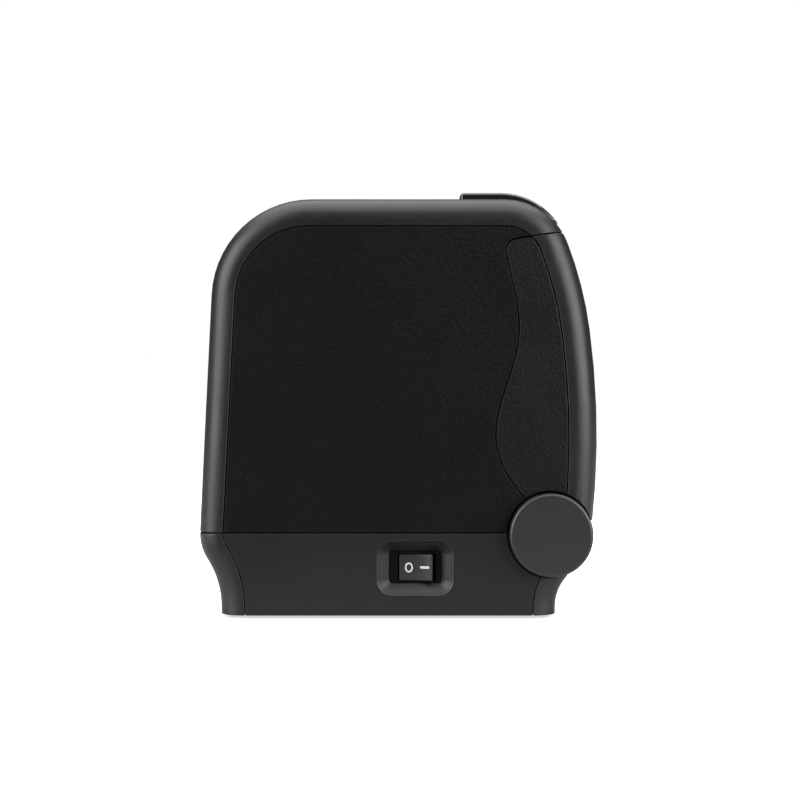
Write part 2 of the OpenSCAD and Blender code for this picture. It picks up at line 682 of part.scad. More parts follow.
// Gloss lip on the door that closes the bezel's front, with the slot's front wall
module door_lip() color("#121214") {
    slab(-lip_half, lip_half) lip_profile();
    slab(2 - lip_half, lip_half - 2) lip_tab();
}
module lip_profile() {
    face = [for (p = points(bezel_rail)) if (p[0] < slot_front) p];
    slot_top = bezel_c[1] + sqrt(pow(bezel_r, 2) - pow(slot_front - bezel_c[0], 2));
    step_a = 90 + acos((bezel_foot - front_c[1]) / front_r);
    polygon(concat(
        [[slot_front, cutter_z + blade_t + 1.6], [slot_front, slot_top]],
        face,
        points(arc(front_c, front_r, step_a, seam_a, 3)),
        reverse(points(arc(front_c, front_r - wall, step_a + 2, seam_a - 2, 3))),
        [front_c + [-14.6, bezel_foot - front_c[1] - 0.6]],
        [for (p = reverse(face)) if (p[0] < slot_front - wall - 1 && p[1] > bezel_foot + 2.8)
            p + wall * (bezel_c - p) / bezel_r],
        [[slot_front - wall, slot_top - wall - 0.9], [slot_front - wall, cutter_z + blade_t + 1.6]]
    ));
}
// Tab of the lip, behind the upper edge of the door shell
module lip_tab() {
    high = arc(front_c, front_r, seam_a - 7.7, seam_a - 3.7, 2);
    low = concat(arc(front_c, front_r, seam_a - 1.1, upper_a, 2), tail(arc(upper_c, bulge_upper_r, upper_a, upper_a + 1.2, 1)));
    polygon(concat(
        inset(high, wall - 0.6), inset(low, wall + 0.1),
        reverse(inset(low, wall + 1.4)), reverse(inset(high, wall + 1.4))
    ));
}
// Serrated edge that tears the paper by hand
tear_pitch = 2;
module tear_bar() color("silver") {
    n = floor((2 * lip_half - 4) / tear_pitch);
    y0 = slot_front + 0.05;
    x0 = -n * tear_pitch / 2;
    z1 = bezel_c[1] + sqrt(pow(bezel_r, 2) - pow(slot_front - bezel_c[0], 2)) - 0.3;
    translate([0, y0 + 0.6, 0]) rotate([90, 0, 0]) linear_extrude(0.6) polygon(concat(
        [[x0, z1 - 8]],
        [for (i = [0:n - 1], k = [0, 0.5]) [x0 + (i + k) * tear_pitch, z1 + k * 1.8]],
        [[-x0, z1], [-x0, z1 - 8]]
    ));
}

// Folded bracket on the door that carries the platen and the fixed blade
bracket_back = platen[0] - platen_r - 2;
function door_inside(z, d) = upper_c[0] - sqrt(pow(bulge_upper_r - d, 2) - pow(z - upper_c[1], 2));
module platen_bracket() color("#9a9da1") {
    z0 = platen[1] - 13;
    z1 = blade_z - 0.05;
    tab_z = z0 + 1.7;
    front = door_inside(tab_z, liner_d + liner_t) + 0.2;
    box([-bracket_x - bracket_t, bracket_x + bracket_t], [bracket_back, bracket_back + bracket_t], [z0, platen[1] + 4]);
    both() slab(bracket_x, bracket_x + bracket_t) difference() {
        polygon([
            [bracket_back, z0], [platen[0] + 1, platen[1] - 4.5], [platen[0] + 3.6, platen[1] - 1],
            [platen[0] + 3.6, platen[1] + 4], [platen[0] + 1.5, z1], [bracket_back + 2.2, z1], [bracket_back, platen[1] + 4]
        ]);
        disc2(platen, shaft_r + fit);
    }
    for (x = [-38, -14, 14, 38]) box([x - 3, x + 3], [front, bracket_back + 1], [tab_z - 1.2, tab_z]);
}
module fixed_blade() color("#c6c9cc")
    box([-bracket_x - 0.6, bracket_x + 0.6], [bracket_back + 2.2, paper_y - 0.2], [blade_z, blade_z + 1]);
module platen_shaft() color("silver") rod(-bush_x1 - 0.4, gear_x0 + gear_w + 0.6, platen, shaft_r);
module platen_roller() color("#1a1a1a") difference() {
    rod(-platen_half, platen_half, platen, platen_r);
    rod(-far, far, platen, shaft_r + 0.02);
}
module platen_bushes() color("#e6e2d4") both() difference() {
    union() {
        rod(bush_x0, bush_x1, platen, bush_r);
        rod(bush_x0, bush_x0 + 0.5, platen, bush_r + 1);
    }
    rod(-far, far, platen, shaft_r + fit);
}

// A spur gear's outline: straight-flanked teeth, the first centred on angle a
function gear_outline(n, a) = let (
    r = pitch_r(n),
    tip = r + 0.9 * gear_m,
    root = r - 1.1 * gear_m,
    half = 82 / n,
    slope = tan(21) * 180 / PI
) [for (i = [0:n - 1], k = [-1, 1], j = [0, 1])
    let (
        up = (k < 0) ? j : 1 - j,
        rr = up ? tip : root,
        w = half - (rr - r) * slope / r
    ) rr * [cos(a + i * 360 / n + k * w), sin(a + i * 360 / n + k * w)]];
module gear(n, a, c, x0, x1, bore) translate([x0, c[0], c[1]]) rotate([90, 0, 90]) linear_extrude(x1 - x0)
    difference() {
        polygon(gear_outline(n, a));
        circle(bore);
    }
// Phase of a gear of nb teeth that meshes with one of na teeth at phase a, in direction dir
function mesh_phase(dir, a, na, nb) = dir + 180 - (a - dir) * na / nb + 180 / nb;
idler_dir = -open_dir;
idler_phase = mesh_phase(idler_dir, 0, platen_teeth, idler_teeth);
pinion_phase = mesh_phase(motor_dir, idler_phase, idler_teeth, pinion_teeth);
module platen_gear() color("#d8d4c6") {
    gear(platen_teeth, 0, platen, gear_x0, gear_x0 + gear_w, shaft_r + 0.02);
}
module idler_gear() color("#d8d4c6") difference() {
    gear(idler_teeth, idler_phase, idler, gear_x0, gear_x0 + gear_w, 2 + fit);
    for (i = [0:4]) rod(gear_x0 - 1, far, idler + 6.2 * [cos(72 * i), sin(72 * i)], 1.9);
}
module feed_pinion() color("#c9a24b") {
    gear(pinion_teeth, pinion_phase, feed_axis, gear_x0, gear_x0 + gear_w, 1.2);
    rod(plate_x - 0.8, gear_x0 + gear_w + 0.5, feed_axis, 1.2);
}
module feed_motor() color("#8d9094") difference() {
    union() {
        rod(plate_x - 14.5, plate_x - 0.1, feed_axis, feed_motor_r);
        box([plate_x - 12, plate_x - 4], [feed_axis[0] + feed_motor_r - 2, feed_axis[0] + feed_motor_r + 3],
            [feed_axis[1] - 4, feed_axis[1] + 4]);
    }
    rod(plate_x - 1.2, plate_x + 1, feed_axis, 2);
}

// Drop-in bucket: trough, two cheeks and the fascia that covers the works behind the door
bucket_front = front_y + 14;
cheek_t = 2;
bucket_top = platen[1] - 14;
module bucket_inside() union() {
    disc2(roll_c, roll_r + 2);
    polygon([
        roll_c + [0, -roll_r - 2], [bucket_front - 20, roll_c[1] - roll_r - 0.5],
        [bucket_front - 20, far], [roll_c[0] + 4, far], [roll_c[0] + roll_r + 2, roll_c[1] + 20],
        [roll_c[0] + roll_r + 2, roll_c[1]]
    ]);
}
module paper_bucket() color("#2e2e31") {
    low = bucket_z;
    rear = roll_c[0] + roll_r + 4;
    front = hinge[0] + nose_r + 2.8;
    wide = cheek_x + cheek_t;
    difference() {
        slab(-wide, wide) difference() {
            polygon([[front, low + 3.4], [front + 4, low], [rear - 14, low], [rear, low + 14], [rear, roll_c[1] + 12], [front, roll_c[1] + 12]]);
            bucket_inside();
        }
    }
    both() slab(cheek_x, wide) difference() {
        polygon([
            [front, low + 3.4], [front + 4, low], [rear - 14, low], [rear, low + 14], [rear, bucket_top - 22], [rear - 12, bucket_top - 8],
            [4, bucket_top - 4], [paper_y + 13, bucket_top - 4], [paper_y + 13, bucket_top], [bucket_front, bucket_top],
            [bucket_front, hinge[1] + nose_r + 1.2]
        ]);
        translate(roll_c) circle(9);
    }
    both() box([wide - eps, nose_x - 0.4], [bucket_front, bucket_front + cheek_t], [hinge[1] + nose_r + 1.2, bucket_top]);
    both() {
        box([wide - 0.5, gear_x0 + 5], flange_y, [bucket_top - 7, bucket_top - 4.2]);
        box([plate_x + 0.3, gear_x0 + 5], flange_y, [bucket_top - 4.3, bucket_top]);
    }
    both() for (y = bucket_post_y) difference() {
        box([wide - 0.5, bucket_post_x + 4.2], [y - 4.2, y + 4.2], [low + 0.05, low + 2.5]);
        post(bucket_post_x, y, 0, far, 1.25);
    }
}

// Folded steel frame of the print mechanism
frame_top = cutter_z - 1.5;
flange_x = gear_x0 + 4.4;
flange_y = [paper_y + 30, paper_y + 39];
module print_frame() color("#a7aaae") {
    rear = paper_y + 40;
    z0 = bucket_top + 0.1;
    both() slab(plate_x, plate_x + plate_t) difference() {
        union() {
            polygon([
                [platen[0] - 4.6, platen[1] - 8.2], [paper_y + 2, z0], [rear, z0], [rear, frame_top], [platen[0] - 4.6, frame_top]
            ]);
            polygon([latch_axis + [-3, 0.5], latch_axis + [-5, -10], latch_axis + [6, -10], latch_axis + [3, 0.5]]);
            disc2(latch_axis, 3);
        }
        disc2(platen, bush_r + fit);
        polygon([
            platen + [0, bush_r + fit], platen + [-9, bush_r + fit + 1.6],
            platen + [-9, -bush_r - fit - 1.6], platen + [0, -bush_r - fit]
        ]);
        disc2(latch_axis, latch_shaft_r + fit);
        disc2(head_pivot, head_pin_r + fit);
        disc2(feed_axis, 3.4);
    }
    half = plate_x + eps;
    difference() {
        box([-half, half], [spring_plate_y, spring_plate_y + plate_t], [z0 + 2, frame_top]);
        rod(plate_x - 15.2, plate_x, feed_axis, feed_motor_r + 0.4);
    }
    box([-half, half], [paper_y + 3, spring_plate_y + eps], [z0, z0 + plate_t]);
    box([-half, half], [paper_y + 1.8, paper_y + 3], [z0, z0 + 1.8]);
    both() box([plate_x + eps, flange_x], flange_y, [z0, z0 + plate_t]);
    rod(plate_x + plate_t - eps, gear_x0 + gear_w + 0.5, idler, 2);
}

module heat_sink() color("#b9bcc0") {
    z0 = head_pivot[1] - 2.3;
    difference() {
        box([-head_half, head_half], [sink_y, sink_y + sink_t], [z0, platen[1] + 5.2]);
        for (z = [0:2])
            box([-head_half - 1, head_half + 1], [sink_y + 2.6, far], [z0 + 3.2 + 3.2 * z, z0 + 4.6 + 3.2 * z]);
    }
    both() rod(head_half - eps, plate_x + plate_t, head_pivot, head_pin_r);
}
module heater_strip() color("#e9e6dc")
    box([-platen_half - 0.5, platen_half + 0.5], [strip_y, sink_y], [platen[1] - 5, platen[1] + 5.6]);

// A compression spring as one tube along a helix, with straight ends
module spring(x, y0, y1, z) {
    sides = 6;
    rings = 8 * spring_curls;
    pitch = (y1 - y0 - spring_wire) / spring_curls;
    mid = [for (i = [0:rings]) let (a = 45 * i)
        [x + (spring_r - spring_wire / 2) * cos(a), y0 + spring_wire / 2 + pitch * i / 8, z + (spring_r - spring_wire / 2) * sin(a)]];
    out = [for (i = [0:rings]) let (a = 45 * i) [cos(a), 0, sin(a)]];
    verts = [for (i = [0:rings], k = [0:sides - 1]) let (b = 360 * k / sides)
        mid[i] + spring_wire / 2 * (cos(b) * out[i] + [0, sin(b), 0])];
    walls = [for (i = [0:rings - 1], k = [0:sides - 1])
        let (a = i * sides + k, b = i * sides + (k + 1) % sides) [a, b, b + sides, a + sides]];
    polyhedron(verts, concat(walls, [[for (k = [sides - 1:-1:0]) k]], [[for (k = [0:sides - 1]) rings * sides + k]]));
    echo(spring_self_gap = pitch - spring_wire);
}
module head_springs() color("#d0d2d4") for (x = [-26, 0, 26])
    spring(x, sink_y + sink_t + run, spring_plate_y - run, platen[1]);

// Tray of the cutter, with the bearings of its shaft
module cutter_frame() color("#a7aaae") {
    z0 = frame_top + 0.1;
    z1 = cutter_z - 0.2;
    y0 = paper_y + 3.4;
    y1 = paper_y + 15.4;
    axis_r = cutter_shaft_r + fit;
    difference() {
        union() {
            box([-plate_x + 0.1, plate_x - 0.1], [y0, y1], [z0, z1]);
            for (x = bearing_x) slab(x, x + plate_t) union() {
                disc2(cutter_axis, 4);
                polygon([[y1 - 6, z0], [y1 + 0.7, z0], cutter_axis + [0, -4], cutter_axis + [4, 0], [cutter_axis[0] + 4, z1], [y1 - 6, z1]]);
            }
            slab(motor_plate_x, motor_plate_x + plate_t) polygon([
                [y1 - 6, z0], [y1 + 0.7, z0], cutter_axis + [0, -4], cutter_motor_axis + [-6, -9.5], cutter_motor_axis + [9, -6],
                cutter_motor_axis + [9, 8], [cutter_axis[0] + 4, z1], [y1 - 6, z1]
            ]);
            both() box([cut_half + 0.3, plate_x - 0.1], [y0, y1], [z1 - eps, cutter_z + blade_t + 0.3]);
            both() box([cut_half - 2, plate_x - 0.1], [y0, y1], [cutter_z + blade_t + 0.2, cutter_z + blade_t + 1]);
        }
        rod(-far, far, cutter_axis, axis_r);
        rod(motor_plate_x - 1, motor_plate_x + 3, cutter_motor_axis, 3);
        both() box([rack_x - rack_w / 2 - 0.6, rack_x + rack_w / 2 + 0.6], [cutter_axis[0] - 18, far], [z0 - 1, z1 + 1]);
        box([drive_x - 1, drive_x + drive_w + 1], [cutter_axis[0] - 14, far], [z0 - 1, z1 + 1]);
    }
}
cut_half = platen_half + 1.2;
bearing_x = [-12, 10.8];
motor_plate_x = drive_x - 2.2;

// Moving blade with its V edge, carried on two racks
module cutter_blade() color("#cfd2d5") {
    edge = paper_y + 2.2;
    difference() {
        box([-cut_half, cut_half], [edge, blade_rear], [cutter_z, cutter_z + blade_t]);
        translate([0, 0, cutter_z - 1]) linear_extrude(4)
            polygon([[-platen_half + 1, edge - 1], [0, edge + 4.5], [platen_half - 1, edge - 1]]);
    }
    for (s = [-1, 1]) translate([s * rack_x - rack_w / 2, 0, 0]) {
        box([0, rack_w], [blade_rear - 3, rack_rear], [cutter_z + blade_t - eps, cutter_z + blade_t + 1.8]);
        rack(rack_w);
    }
}
rack_rear = cutter_axis[0] + cut_travel + 5;
module rack(w) {
    p = PI * gear_m;
    top = cutter_z + blade_t;
    root = rack_line + 1.1 * gear_m;
    tip = rack_line - 0.9 * gear_m;
    n0 = -floor((cutter_axis[0] - blade_rear - 1) / p);
    n1 = floor((rack_rear - cutter_axis[0]) / p);
    hw = 0.43 * p / 2;
    slope = tan(21);
    slab(0, w) polygon(concat(
        [[cutter_axis[0] + n0 * p - p, top]],
        [[cutter_axis[0] + n0 * p - p, root]],
        [for (i = [n0:n1 - 1], k = [0:3]) let (
            y = cutter_axis[0] + (i + 0.5) * p,
            side = k < 2 ? -1 : 1,
            low = (k == 1 || k == 2),
            z = low ? tip : root
        ) [y + side * (hw + (z - rack_line) * slope), z]],
        [[rack_rear, root], [rack_rear, top]]
    ));
}
module cutter_shaft() color("silver") {
    rod(motor_plate_x - 1.5, rack_x + rack_w / 2 + 2, cutter_axis, cutter_shaft_r);
    for (s = [-1, 1])
        gear(rack_pinion_teeth, 90, cutter_axis, s * rack_x - rack_w / 2, s * rack_x + rack_w / 2, cutter_shaft_r - eps);
}
cutter_phase = mesh_phase(cutter_motor_dir, 0, cutter_gear_teeth, cutter_pinion_teeth);
module cutter_gear() color("#d8d4c6")
    gear(cutter_gear_teeth, 0, cutter_axis, drive_x, drive_x + drive_w, cutter_shaft_r + 0.02);
module cutter_pinion() color("#c9a24b") {
    gear(cutter_pinion_teeth, cutter_phase, cutter_motor_axis, drive_x, drive_x + drive_w, 1);
    rod(motor_plate_x - 0.6, drive_x + drive_w + 0.4, cutter_motor_axis, 1);
}
module cutter_motor() color("#8d9094") difference() {
    union() {
        rod(-plate_x + 0.2, motor_plate_x - 0.1, cutter_motor_axis, cutter_motor_r);
        rod(motor_plate_x - 0.2, motor_plate_x + 0.9, cutter_motor_axis, 2.9);
    }
    rod(motor_plate_x - 1.2, far, cutter_motor_axis, 1.6);
}

// Cross shaft with the two hooks and the tab that the cover-open button presses
module latch_hooks() color("#b4b7ba") {
    rod(-hook_x0 - hook_w, hook_x0 + hook_w, latch_axis, latch_shaft_r);
    both() slab(hook_x0, hook_x0 + hook_w) difference() {
        union() {
            hull() {
                disc2(latch_axis, 3.2);
                disc2(latch_pin + [0, latch_pin_r + 3], 2.4);
            }
            hull() {
                disc2(latch_pin + [0, latch_pin_r + 3], 2.4);
                disc2(latch_pin + [-2.2, latch_pin_r + 2.5], 1.4);
            }
        }
        disc2(latch_pin, latch_pin_r + 0.5);
    }
    slab(open_x - 4, open_x + 4) {
        disc2(latch_axis, 2.6);
        polygon([latch_axis + [0, 1.1], [plunger_y + 1.6, latch_axis[1] + 1.1], [plunger_y + 1.6, latch_axis[1] - 0.5], latch_axis + [0, -0.5]]);
    }
}

module main_board() color("#1d5c33") {
    box([-board_half, board_half], [-20, board_rear], [board_z, board_z + board_t]);
    for (c = [[-36, 12, 5], [-24, 8, 4], [34, 10, 4]]) post(c[0], c[1], board_z + board_t - eps, board_z + board_t + 9, c[2]);
    box([-10, 8], [-18, 0], [board_z + board_t - eps, board_z + board_t + 1.6]);
    box([16, 30], [-6, 8], [board_z + board_t - eps, board_z + board_t + 1.4]);
}
// A socket's block behind the steel plate, its mouth to the rear
socket_z = board_z + board_t;
module socket_block(x, w, h, depth) box([x - w / 2, x + w / 2], [plate_y - depth, plate_y - 0.2], [socket_z, socket_z + h]);
module power_socket() color("#1a1a1a") difference() {
    socket_block(power_x, 13, 13, 13);
    translate([power_x, plate_y - 8, socket_z + 6.5]) rotate([-90, 0, 0]) cylinder(r = 5, h = 20);
}
module drawer_socket() color("#1a1a1a") difference() {
    socket_block(drawer_x, 14, 13, 15);
    box([drawer_x - 5, drawer_x + 5], [plate_y - 12, far], [socket_z + 2.4, socket_z + 9.4]);
    box([drawer_x - 3, drawer_x + 3], [plate_y - 12, far], [socket_z + 9.4 - eps, socket_z + 11.2]);
}
module network_socket() color("#c0c3c6") difference() {
    socket_block(network_x, 16, 13.4, 16);
    box([network_x - 6, network_x + 6], [plate_y - 13, far], [socket_z + 2.6, socket_z + 9.6]);
    box([network_x - 3.2, network_x + 3.2], [plate_y - 13, far], [socket_z + 9.6 - eps, socket_z + 11.8]);
}
module usb_socket() color("#c0c3c6") difference() {
    socket_block(usb_x, 12, 11, 14);
    box([usb_x - 4.3, usb_x + 4.3], [plate_y - 5, far], [socket_z + 1.4, socket_z + 9]);
}
power_x = 34;
drawer_x = 13;
network_x = -9;
usb_x = -32;
module socket_plate() color("#b4b7ba") difference() {
    box([-bay_w / 2 + 0.2, bay_w / 2 - 0.2], [plate_y, plate_y + 0.8], [bay_z + 0.2, bay_z + bay_h - 0.2]);
    translate([power_x, plate_y - 1, socket_z + 6.5]) rotate([-90, 0, 0]) cylinder(r = 5.6, h = 4);
    box([drawer_x - 5.6, drawer_x + 5.6], [plate_y - 1, far], [socket_z + 1.8, socket_z + 11.6]);
    box([network_x - 6.6, network_x + 6.6], [plate_y - 1, far], [socket_z + 2, socket_z + 12.2]);
    box([usb_x - 4.8, usb_x + 4.8], [plate_y - 1, far], [socket_z + 0.9, socket_z + 9.5]);
}
module paper_end_sensor() color("#111111") {
    y = roll_c[0] + 20;
    box([cheek_x + cheek_t + 0.05, cheek_x + cheek_t + 6], [y - 6, y + 6], [roll_c[1] - 30, roll_c[1] - 20]);
}
module frame_screws() color("silver") both() {
    z = bucket_top + 0.1 + plate_t;
    difference() {
        post(gear_x0 + 1.2, flange_y[0] + 4.5, z, z + 1.4, 2.2);
        translate([gear_x0 + 1.2, flange_y[0] + 4.5, z + 1.4]) for (a = [0, 90]) rotate(a) cube([2.6, 0.6, 1.2], center = true);
    }
}

base_shell();
base_front_flare();
base_rear_flare();
base_skirt_left();
base_skirt_right();
rubber_feet();
base_screws();
top_cover();
side_panel_left();
side_panel_right();
control_bezel();
led_lenses();
panel_board();
feed_button();
open_button();
switch_frame();
power_rocker();
hinge_cap_left();
hinge_cap_right();
hinge_pins();
door_shell();
door_cheek_left();
door_cheek_right();
door_liner();
door_lip();
tear_bar();
latch_pins();
platen_bracket();
fixed_blade();
platen_shaft();
platen_roller();
platen_gear();
platen_bushes();
paper_bucket();
print_frame();
heat_sink();
heater_strip();
head_springs();
feed_motor();
feed_pinion();
idler_gear();
cutter_frame();
cutter_blade();
cutter_shaft();
cutter_gear();
cutter_motor();
cutter_pinion();
latch_hooks();
main_board();
power_socket();
drawer_socket();
network_socket();
usb_socket();
socket_plate();
paper_end_sensor();
frame_screws();
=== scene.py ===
"""Looks of a compact desktop thermal receipt printer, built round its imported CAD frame.

The frame's own axes hold: the front door faces -Y and +Z is up. Lights, the floor, roundings and
the small parts on the board are in metres; what class Shape makes is given in millimetres.
"""

import cmath
import json
import math

import bmesh
import bpy
from mathutils import Matrix, Vector


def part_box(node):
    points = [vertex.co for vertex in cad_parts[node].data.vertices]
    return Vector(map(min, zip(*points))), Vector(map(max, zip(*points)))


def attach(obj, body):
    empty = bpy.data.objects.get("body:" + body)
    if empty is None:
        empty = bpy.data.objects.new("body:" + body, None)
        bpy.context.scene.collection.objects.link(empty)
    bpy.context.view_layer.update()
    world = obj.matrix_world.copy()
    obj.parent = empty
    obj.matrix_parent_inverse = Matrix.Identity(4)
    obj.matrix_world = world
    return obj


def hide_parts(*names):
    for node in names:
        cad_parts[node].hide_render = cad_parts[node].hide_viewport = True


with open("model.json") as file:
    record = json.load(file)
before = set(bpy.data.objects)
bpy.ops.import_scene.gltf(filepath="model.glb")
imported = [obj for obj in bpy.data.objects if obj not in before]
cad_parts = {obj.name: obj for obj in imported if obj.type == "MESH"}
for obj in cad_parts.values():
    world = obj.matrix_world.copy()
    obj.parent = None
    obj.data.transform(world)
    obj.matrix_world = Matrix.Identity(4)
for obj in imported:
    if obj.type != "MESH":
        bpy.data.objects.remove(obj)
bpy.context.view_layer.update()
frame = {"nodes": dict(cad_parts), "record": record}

MM = 0.001
BODY_OF = {
    node: body
    for body, nodes in frame["record"]["behaviour"]["bodies"].items()
    for node in nodes
}
SLOT_OF = {part["node"]: part["material_slot"] for part in frame["record"]["subparts"]}


# Short-hand for shader nodes


class Wiring:
    """Makes and joins the shader nodes of one material, world or node group."""

    def __init__(self, tree):
        self.tree = tree

    def node(self, kind, settings=None, **inputs):
        """A new node; each input is given by its label, or as i0, i1 and so on by its place."""
        made = self.tree.nodes.new("ShaderNode" + kind)
        for key, value in (settings or {}).items():
            setattr(made, key, value)
        for label, value in inputs.items():
            spot = label.replace("_", " ")
            self.set(made.inputs[spot if spot in made.inputs else int(label[1:])], value)
        return made

    def set(self, socket, value):
        """Join another node's output to the socket, or put a plain value on it."""
        if isinstance(value, bpy.types.NodeSocket):
            self.tree.links.new(value, socket)
        else:
            socket.default_value = value

    def use(self, group, **inputs):
        """The outputs of a node group with these inputs."""
        return self.node("Group", {"node_tree": group}, **inputs).outputs

    def math(self, operation, a, b, clamp=False):
        settings = {"operation": operation, "use_clamp": clamp}
        return self.node("Math", settings, i0=a, i1=b).outputs[0]

    def blend(self, factor, a, b):
        return self.node("Mix", {"data_type": "RGBA"}, i0=factor, i6=a, i7=b).outputs[2]

    def spread(self, value, low, high, to_low, to_high, kind="LINEAR"):
        """The value's range from low to high, laid over the range from to_low to to_high."""
        ends = {"From_Min": low, "From_Max": high, "To_Min": to_low, "To_Max": to_high}
        settings = {"interpolation_type": kind}
        return self.node("MapRange", settings, Value=value, **ends).outputs[0]


# Camera, light and floor

# The photograph looks square at the switch side from about 0.6 m.
CAMERA_DISTANCE = 0.600
SIDE_PLANE = -0.068
VIEW_CENTRE = (-0.00058, 0.0767)
VIEW_WIDTH = 0.280
SENSOR = 36.0
# Cycles spreads a lamp's watts over four times its area.
WATTS_PER_RADIANCE = 4
FLOOR_HALF = 6.0
# Over this span of X the floor's share of light thrown back goes from the first to the second.
BOUNCE_SPAN = (-0.25, 0.05)
BOUNCE = (0.1, 0.8)
# Over these distances from the middle the floor's glow, as the camera sees it, rises to white.
FADE_SPAN = (0.1, 0.45)
FADE = (0.62, 1.0)


def place_camera():
    data = bpy.data.cameras.new("camera")
    data.sensor_width = SENSOR
    data.lens = SENSOR * CAMERA_DISTANCE / VIEW_WIDTH
    camera = bpy.data.objects.new("camera", data)
    camera.location = (SIDE_PLANE - CAMERA_DISTANCE, *VIEW_CENTRE)
    camera.rotation_euler = (math.radians(90), 0, math.radians(-90))
    bpy.context.scene.collection.objects.link(camera)
    bpy.context.scene.camera = camera


def softbox(name, place, aim, size, radiance):
    """An area lamp whose surface has the given radiance, pointed from place at aim."""
    data = bpy.data.lights.new(name, "AREA")
    data.shape = "RECTANGLE"
    data.size, data.size_y = size
    data.energy = radiance * WATTS_PER_RADIANCE * size[0] * size[1]
    lamp = bpy.data.objects.new(name, data)
    lamp.location = place
    lamp.rotation_euler = (Vector(aim) - Vector(place)).to_track_quat("-Z", "Y").to_euler()
    bpy.context.scene.collection.objects.link(lamp)


def light_world(side_level, far_level):
    """White where the camera looks past the printer, dim on the camera's own side."""
    world = bpy.data.worlds.new("studio")
    bpy.context.scene.world = world
    world.use_nodes = True
    world.node_tree.nodes.clear()
    w = Wiring(world.node_tree)
    across = w.node("SeparateXYZ", i0=w.node("TexCoord").outputs["Generated"]).outputs["X"]
    level = w.spread(across, -0.5, 0.6, side_level, far_level, "SMOOTHSTEP")
    studio = w.node("Background", Strength=level).outputs[0]
    white = w.node("Background", Color=(1, 1, 1, 1)).outputs[0]
    seen = w.node("LightPath").outputs["Is Camera Ray"]
    w.node("OutputWorld", Surface=w.node("MixShader", i0=seen, i1=studio, i2=white).outputs[0])


def lay_floor():
    """A pale floor that fades to white in the camera's eyes and sends little light to its side."""
    rim = ((-1, -1), (1, -1), (1, 1), (-1, 1))
    mesh = bpy.data.meshes.new("floor")
    mesh.from_pydata([(FLOOR_HALF * x, FLOOR_HALF * y, 0) for x, y in rim], [], [(0, 1, 2, 3)])
    floor = bpy.data.objects.new("floor", mesh)
    bpy.context.scene.collection.objects.link(floor)
    paint = bpy.data.materials.new("pale_floor")
    paint.use_nodes = True
    paint.node_tree.nodes.clear()
    mesh.materials.append(paint)
    w = Wiring(paint.node_tree)
    place = w.node("TexCoord").outputs["Object"]
    seen = w.node("LightPath").outputs["Is Camera Ray"]
    bounce = w.spread(w.node("SeparateXYZ", i0=place).outputs["X"], *BOUNCE_SPAN, *BOUNCE)
    matt = w.node("BsdfDiffuse", Color=w.blend(seen, bounce, (0.8, 0.8, 0.8, 1))).outputs[0]
    reach = w.node("VectorMath", {"operation": "LENGTH"}, i0=place).outputs["Value"]
    white = w.spread(reach, *FADE_SPAN, *FADE, "SMOOTHSTEP")
    glow = w.node("Emission", Strength=w.math("MULTIPLY", seen, white)).outputs[0]
    w.node("OutputMaterial", Surface=w.node("AddShader", i0=matt, i1=glow).outputs[0])


place_camera()
light_world(side_level=0.05, far_level=0.12)
softbox("lamp_above", (0.0, 0.0, 0.95), (0.0, 0.0, 0.1), (1.3, 1.3), 2.5)
softbox("lamp_front", (-0.52, -0.75, 0.35), (0.0, 0.0, 0.08), (0.75, 0.8), 4.8)
softbox("lamp_rear", (-0.46, 0.82, 0.38), (0.0, 0.0, 0.08), (0.75, 0.9), 4.8)
lay_floor()
bpy.context.scene.view_settings.view_transform = "Standard"


# Surface effects that the materials share


def effect(name, inputs, outputs):
    """A shader node group with named inputs (name, kind, value) and float outputs."""
    tree = bpy.data.node_groups.new(name, "ShaderNodeTree")
    face = tree.interface
    for label, kind, value in inputs:
        socket = face.new_socket(label, in_out="INPUT", socket_type="NodeSocket" + kind)
        socket.default_value = value
    for label in outputs:
        face.new_socket(label, in_out="OUTPUT", socket_type="NodeSocketFloat")
    given = tree.nodes.new("NodeGroupInput").outputs
    return Wiring(tree), given, tree.nodes.new("NodeGroupOutput").inputs


def make_spark_grain():
    """Spark-eroded mould texture: pebbles of one size over a finer haze."""
    w, given, out = effect(
        "spark_grain",
        [("Place", "Vector", (0, 0, 0)), ("Pebble Size", "Float", 0.0006), ("Haze", "Float", 0.35)],
        ["Height", "Speck"],
    )
    place = given["Place"]
    scale = w.math("DIVIDE", 1.0, given["Pebble Size"])
    soft = {"feature": "SMOOTH_F1"}
    pebbles = w.node("TexVoronoi", soft, Vector=place, Scale=scale, Smoothness=0.6, Randomness=1.0)
    finer = w.math("MULTIPLY", scale, 1.7)
    fine = w.node("TexNoise", Vector=place, Scale=finer, Detail=3.0, Roughness=0.6).outputs[0]
    bumps = w.math("SUBTRACT", 1.0, pebbles.outputs["Distance"])
    w.set(out["Height"], w.math("ADD", bumps, w.math("MULTIPLY", fine, given["Haze"])))
    w.set(out["Speck"], w.spread(fine, 0.62, 0.72, 0.0, 1.0))
    return w.tree


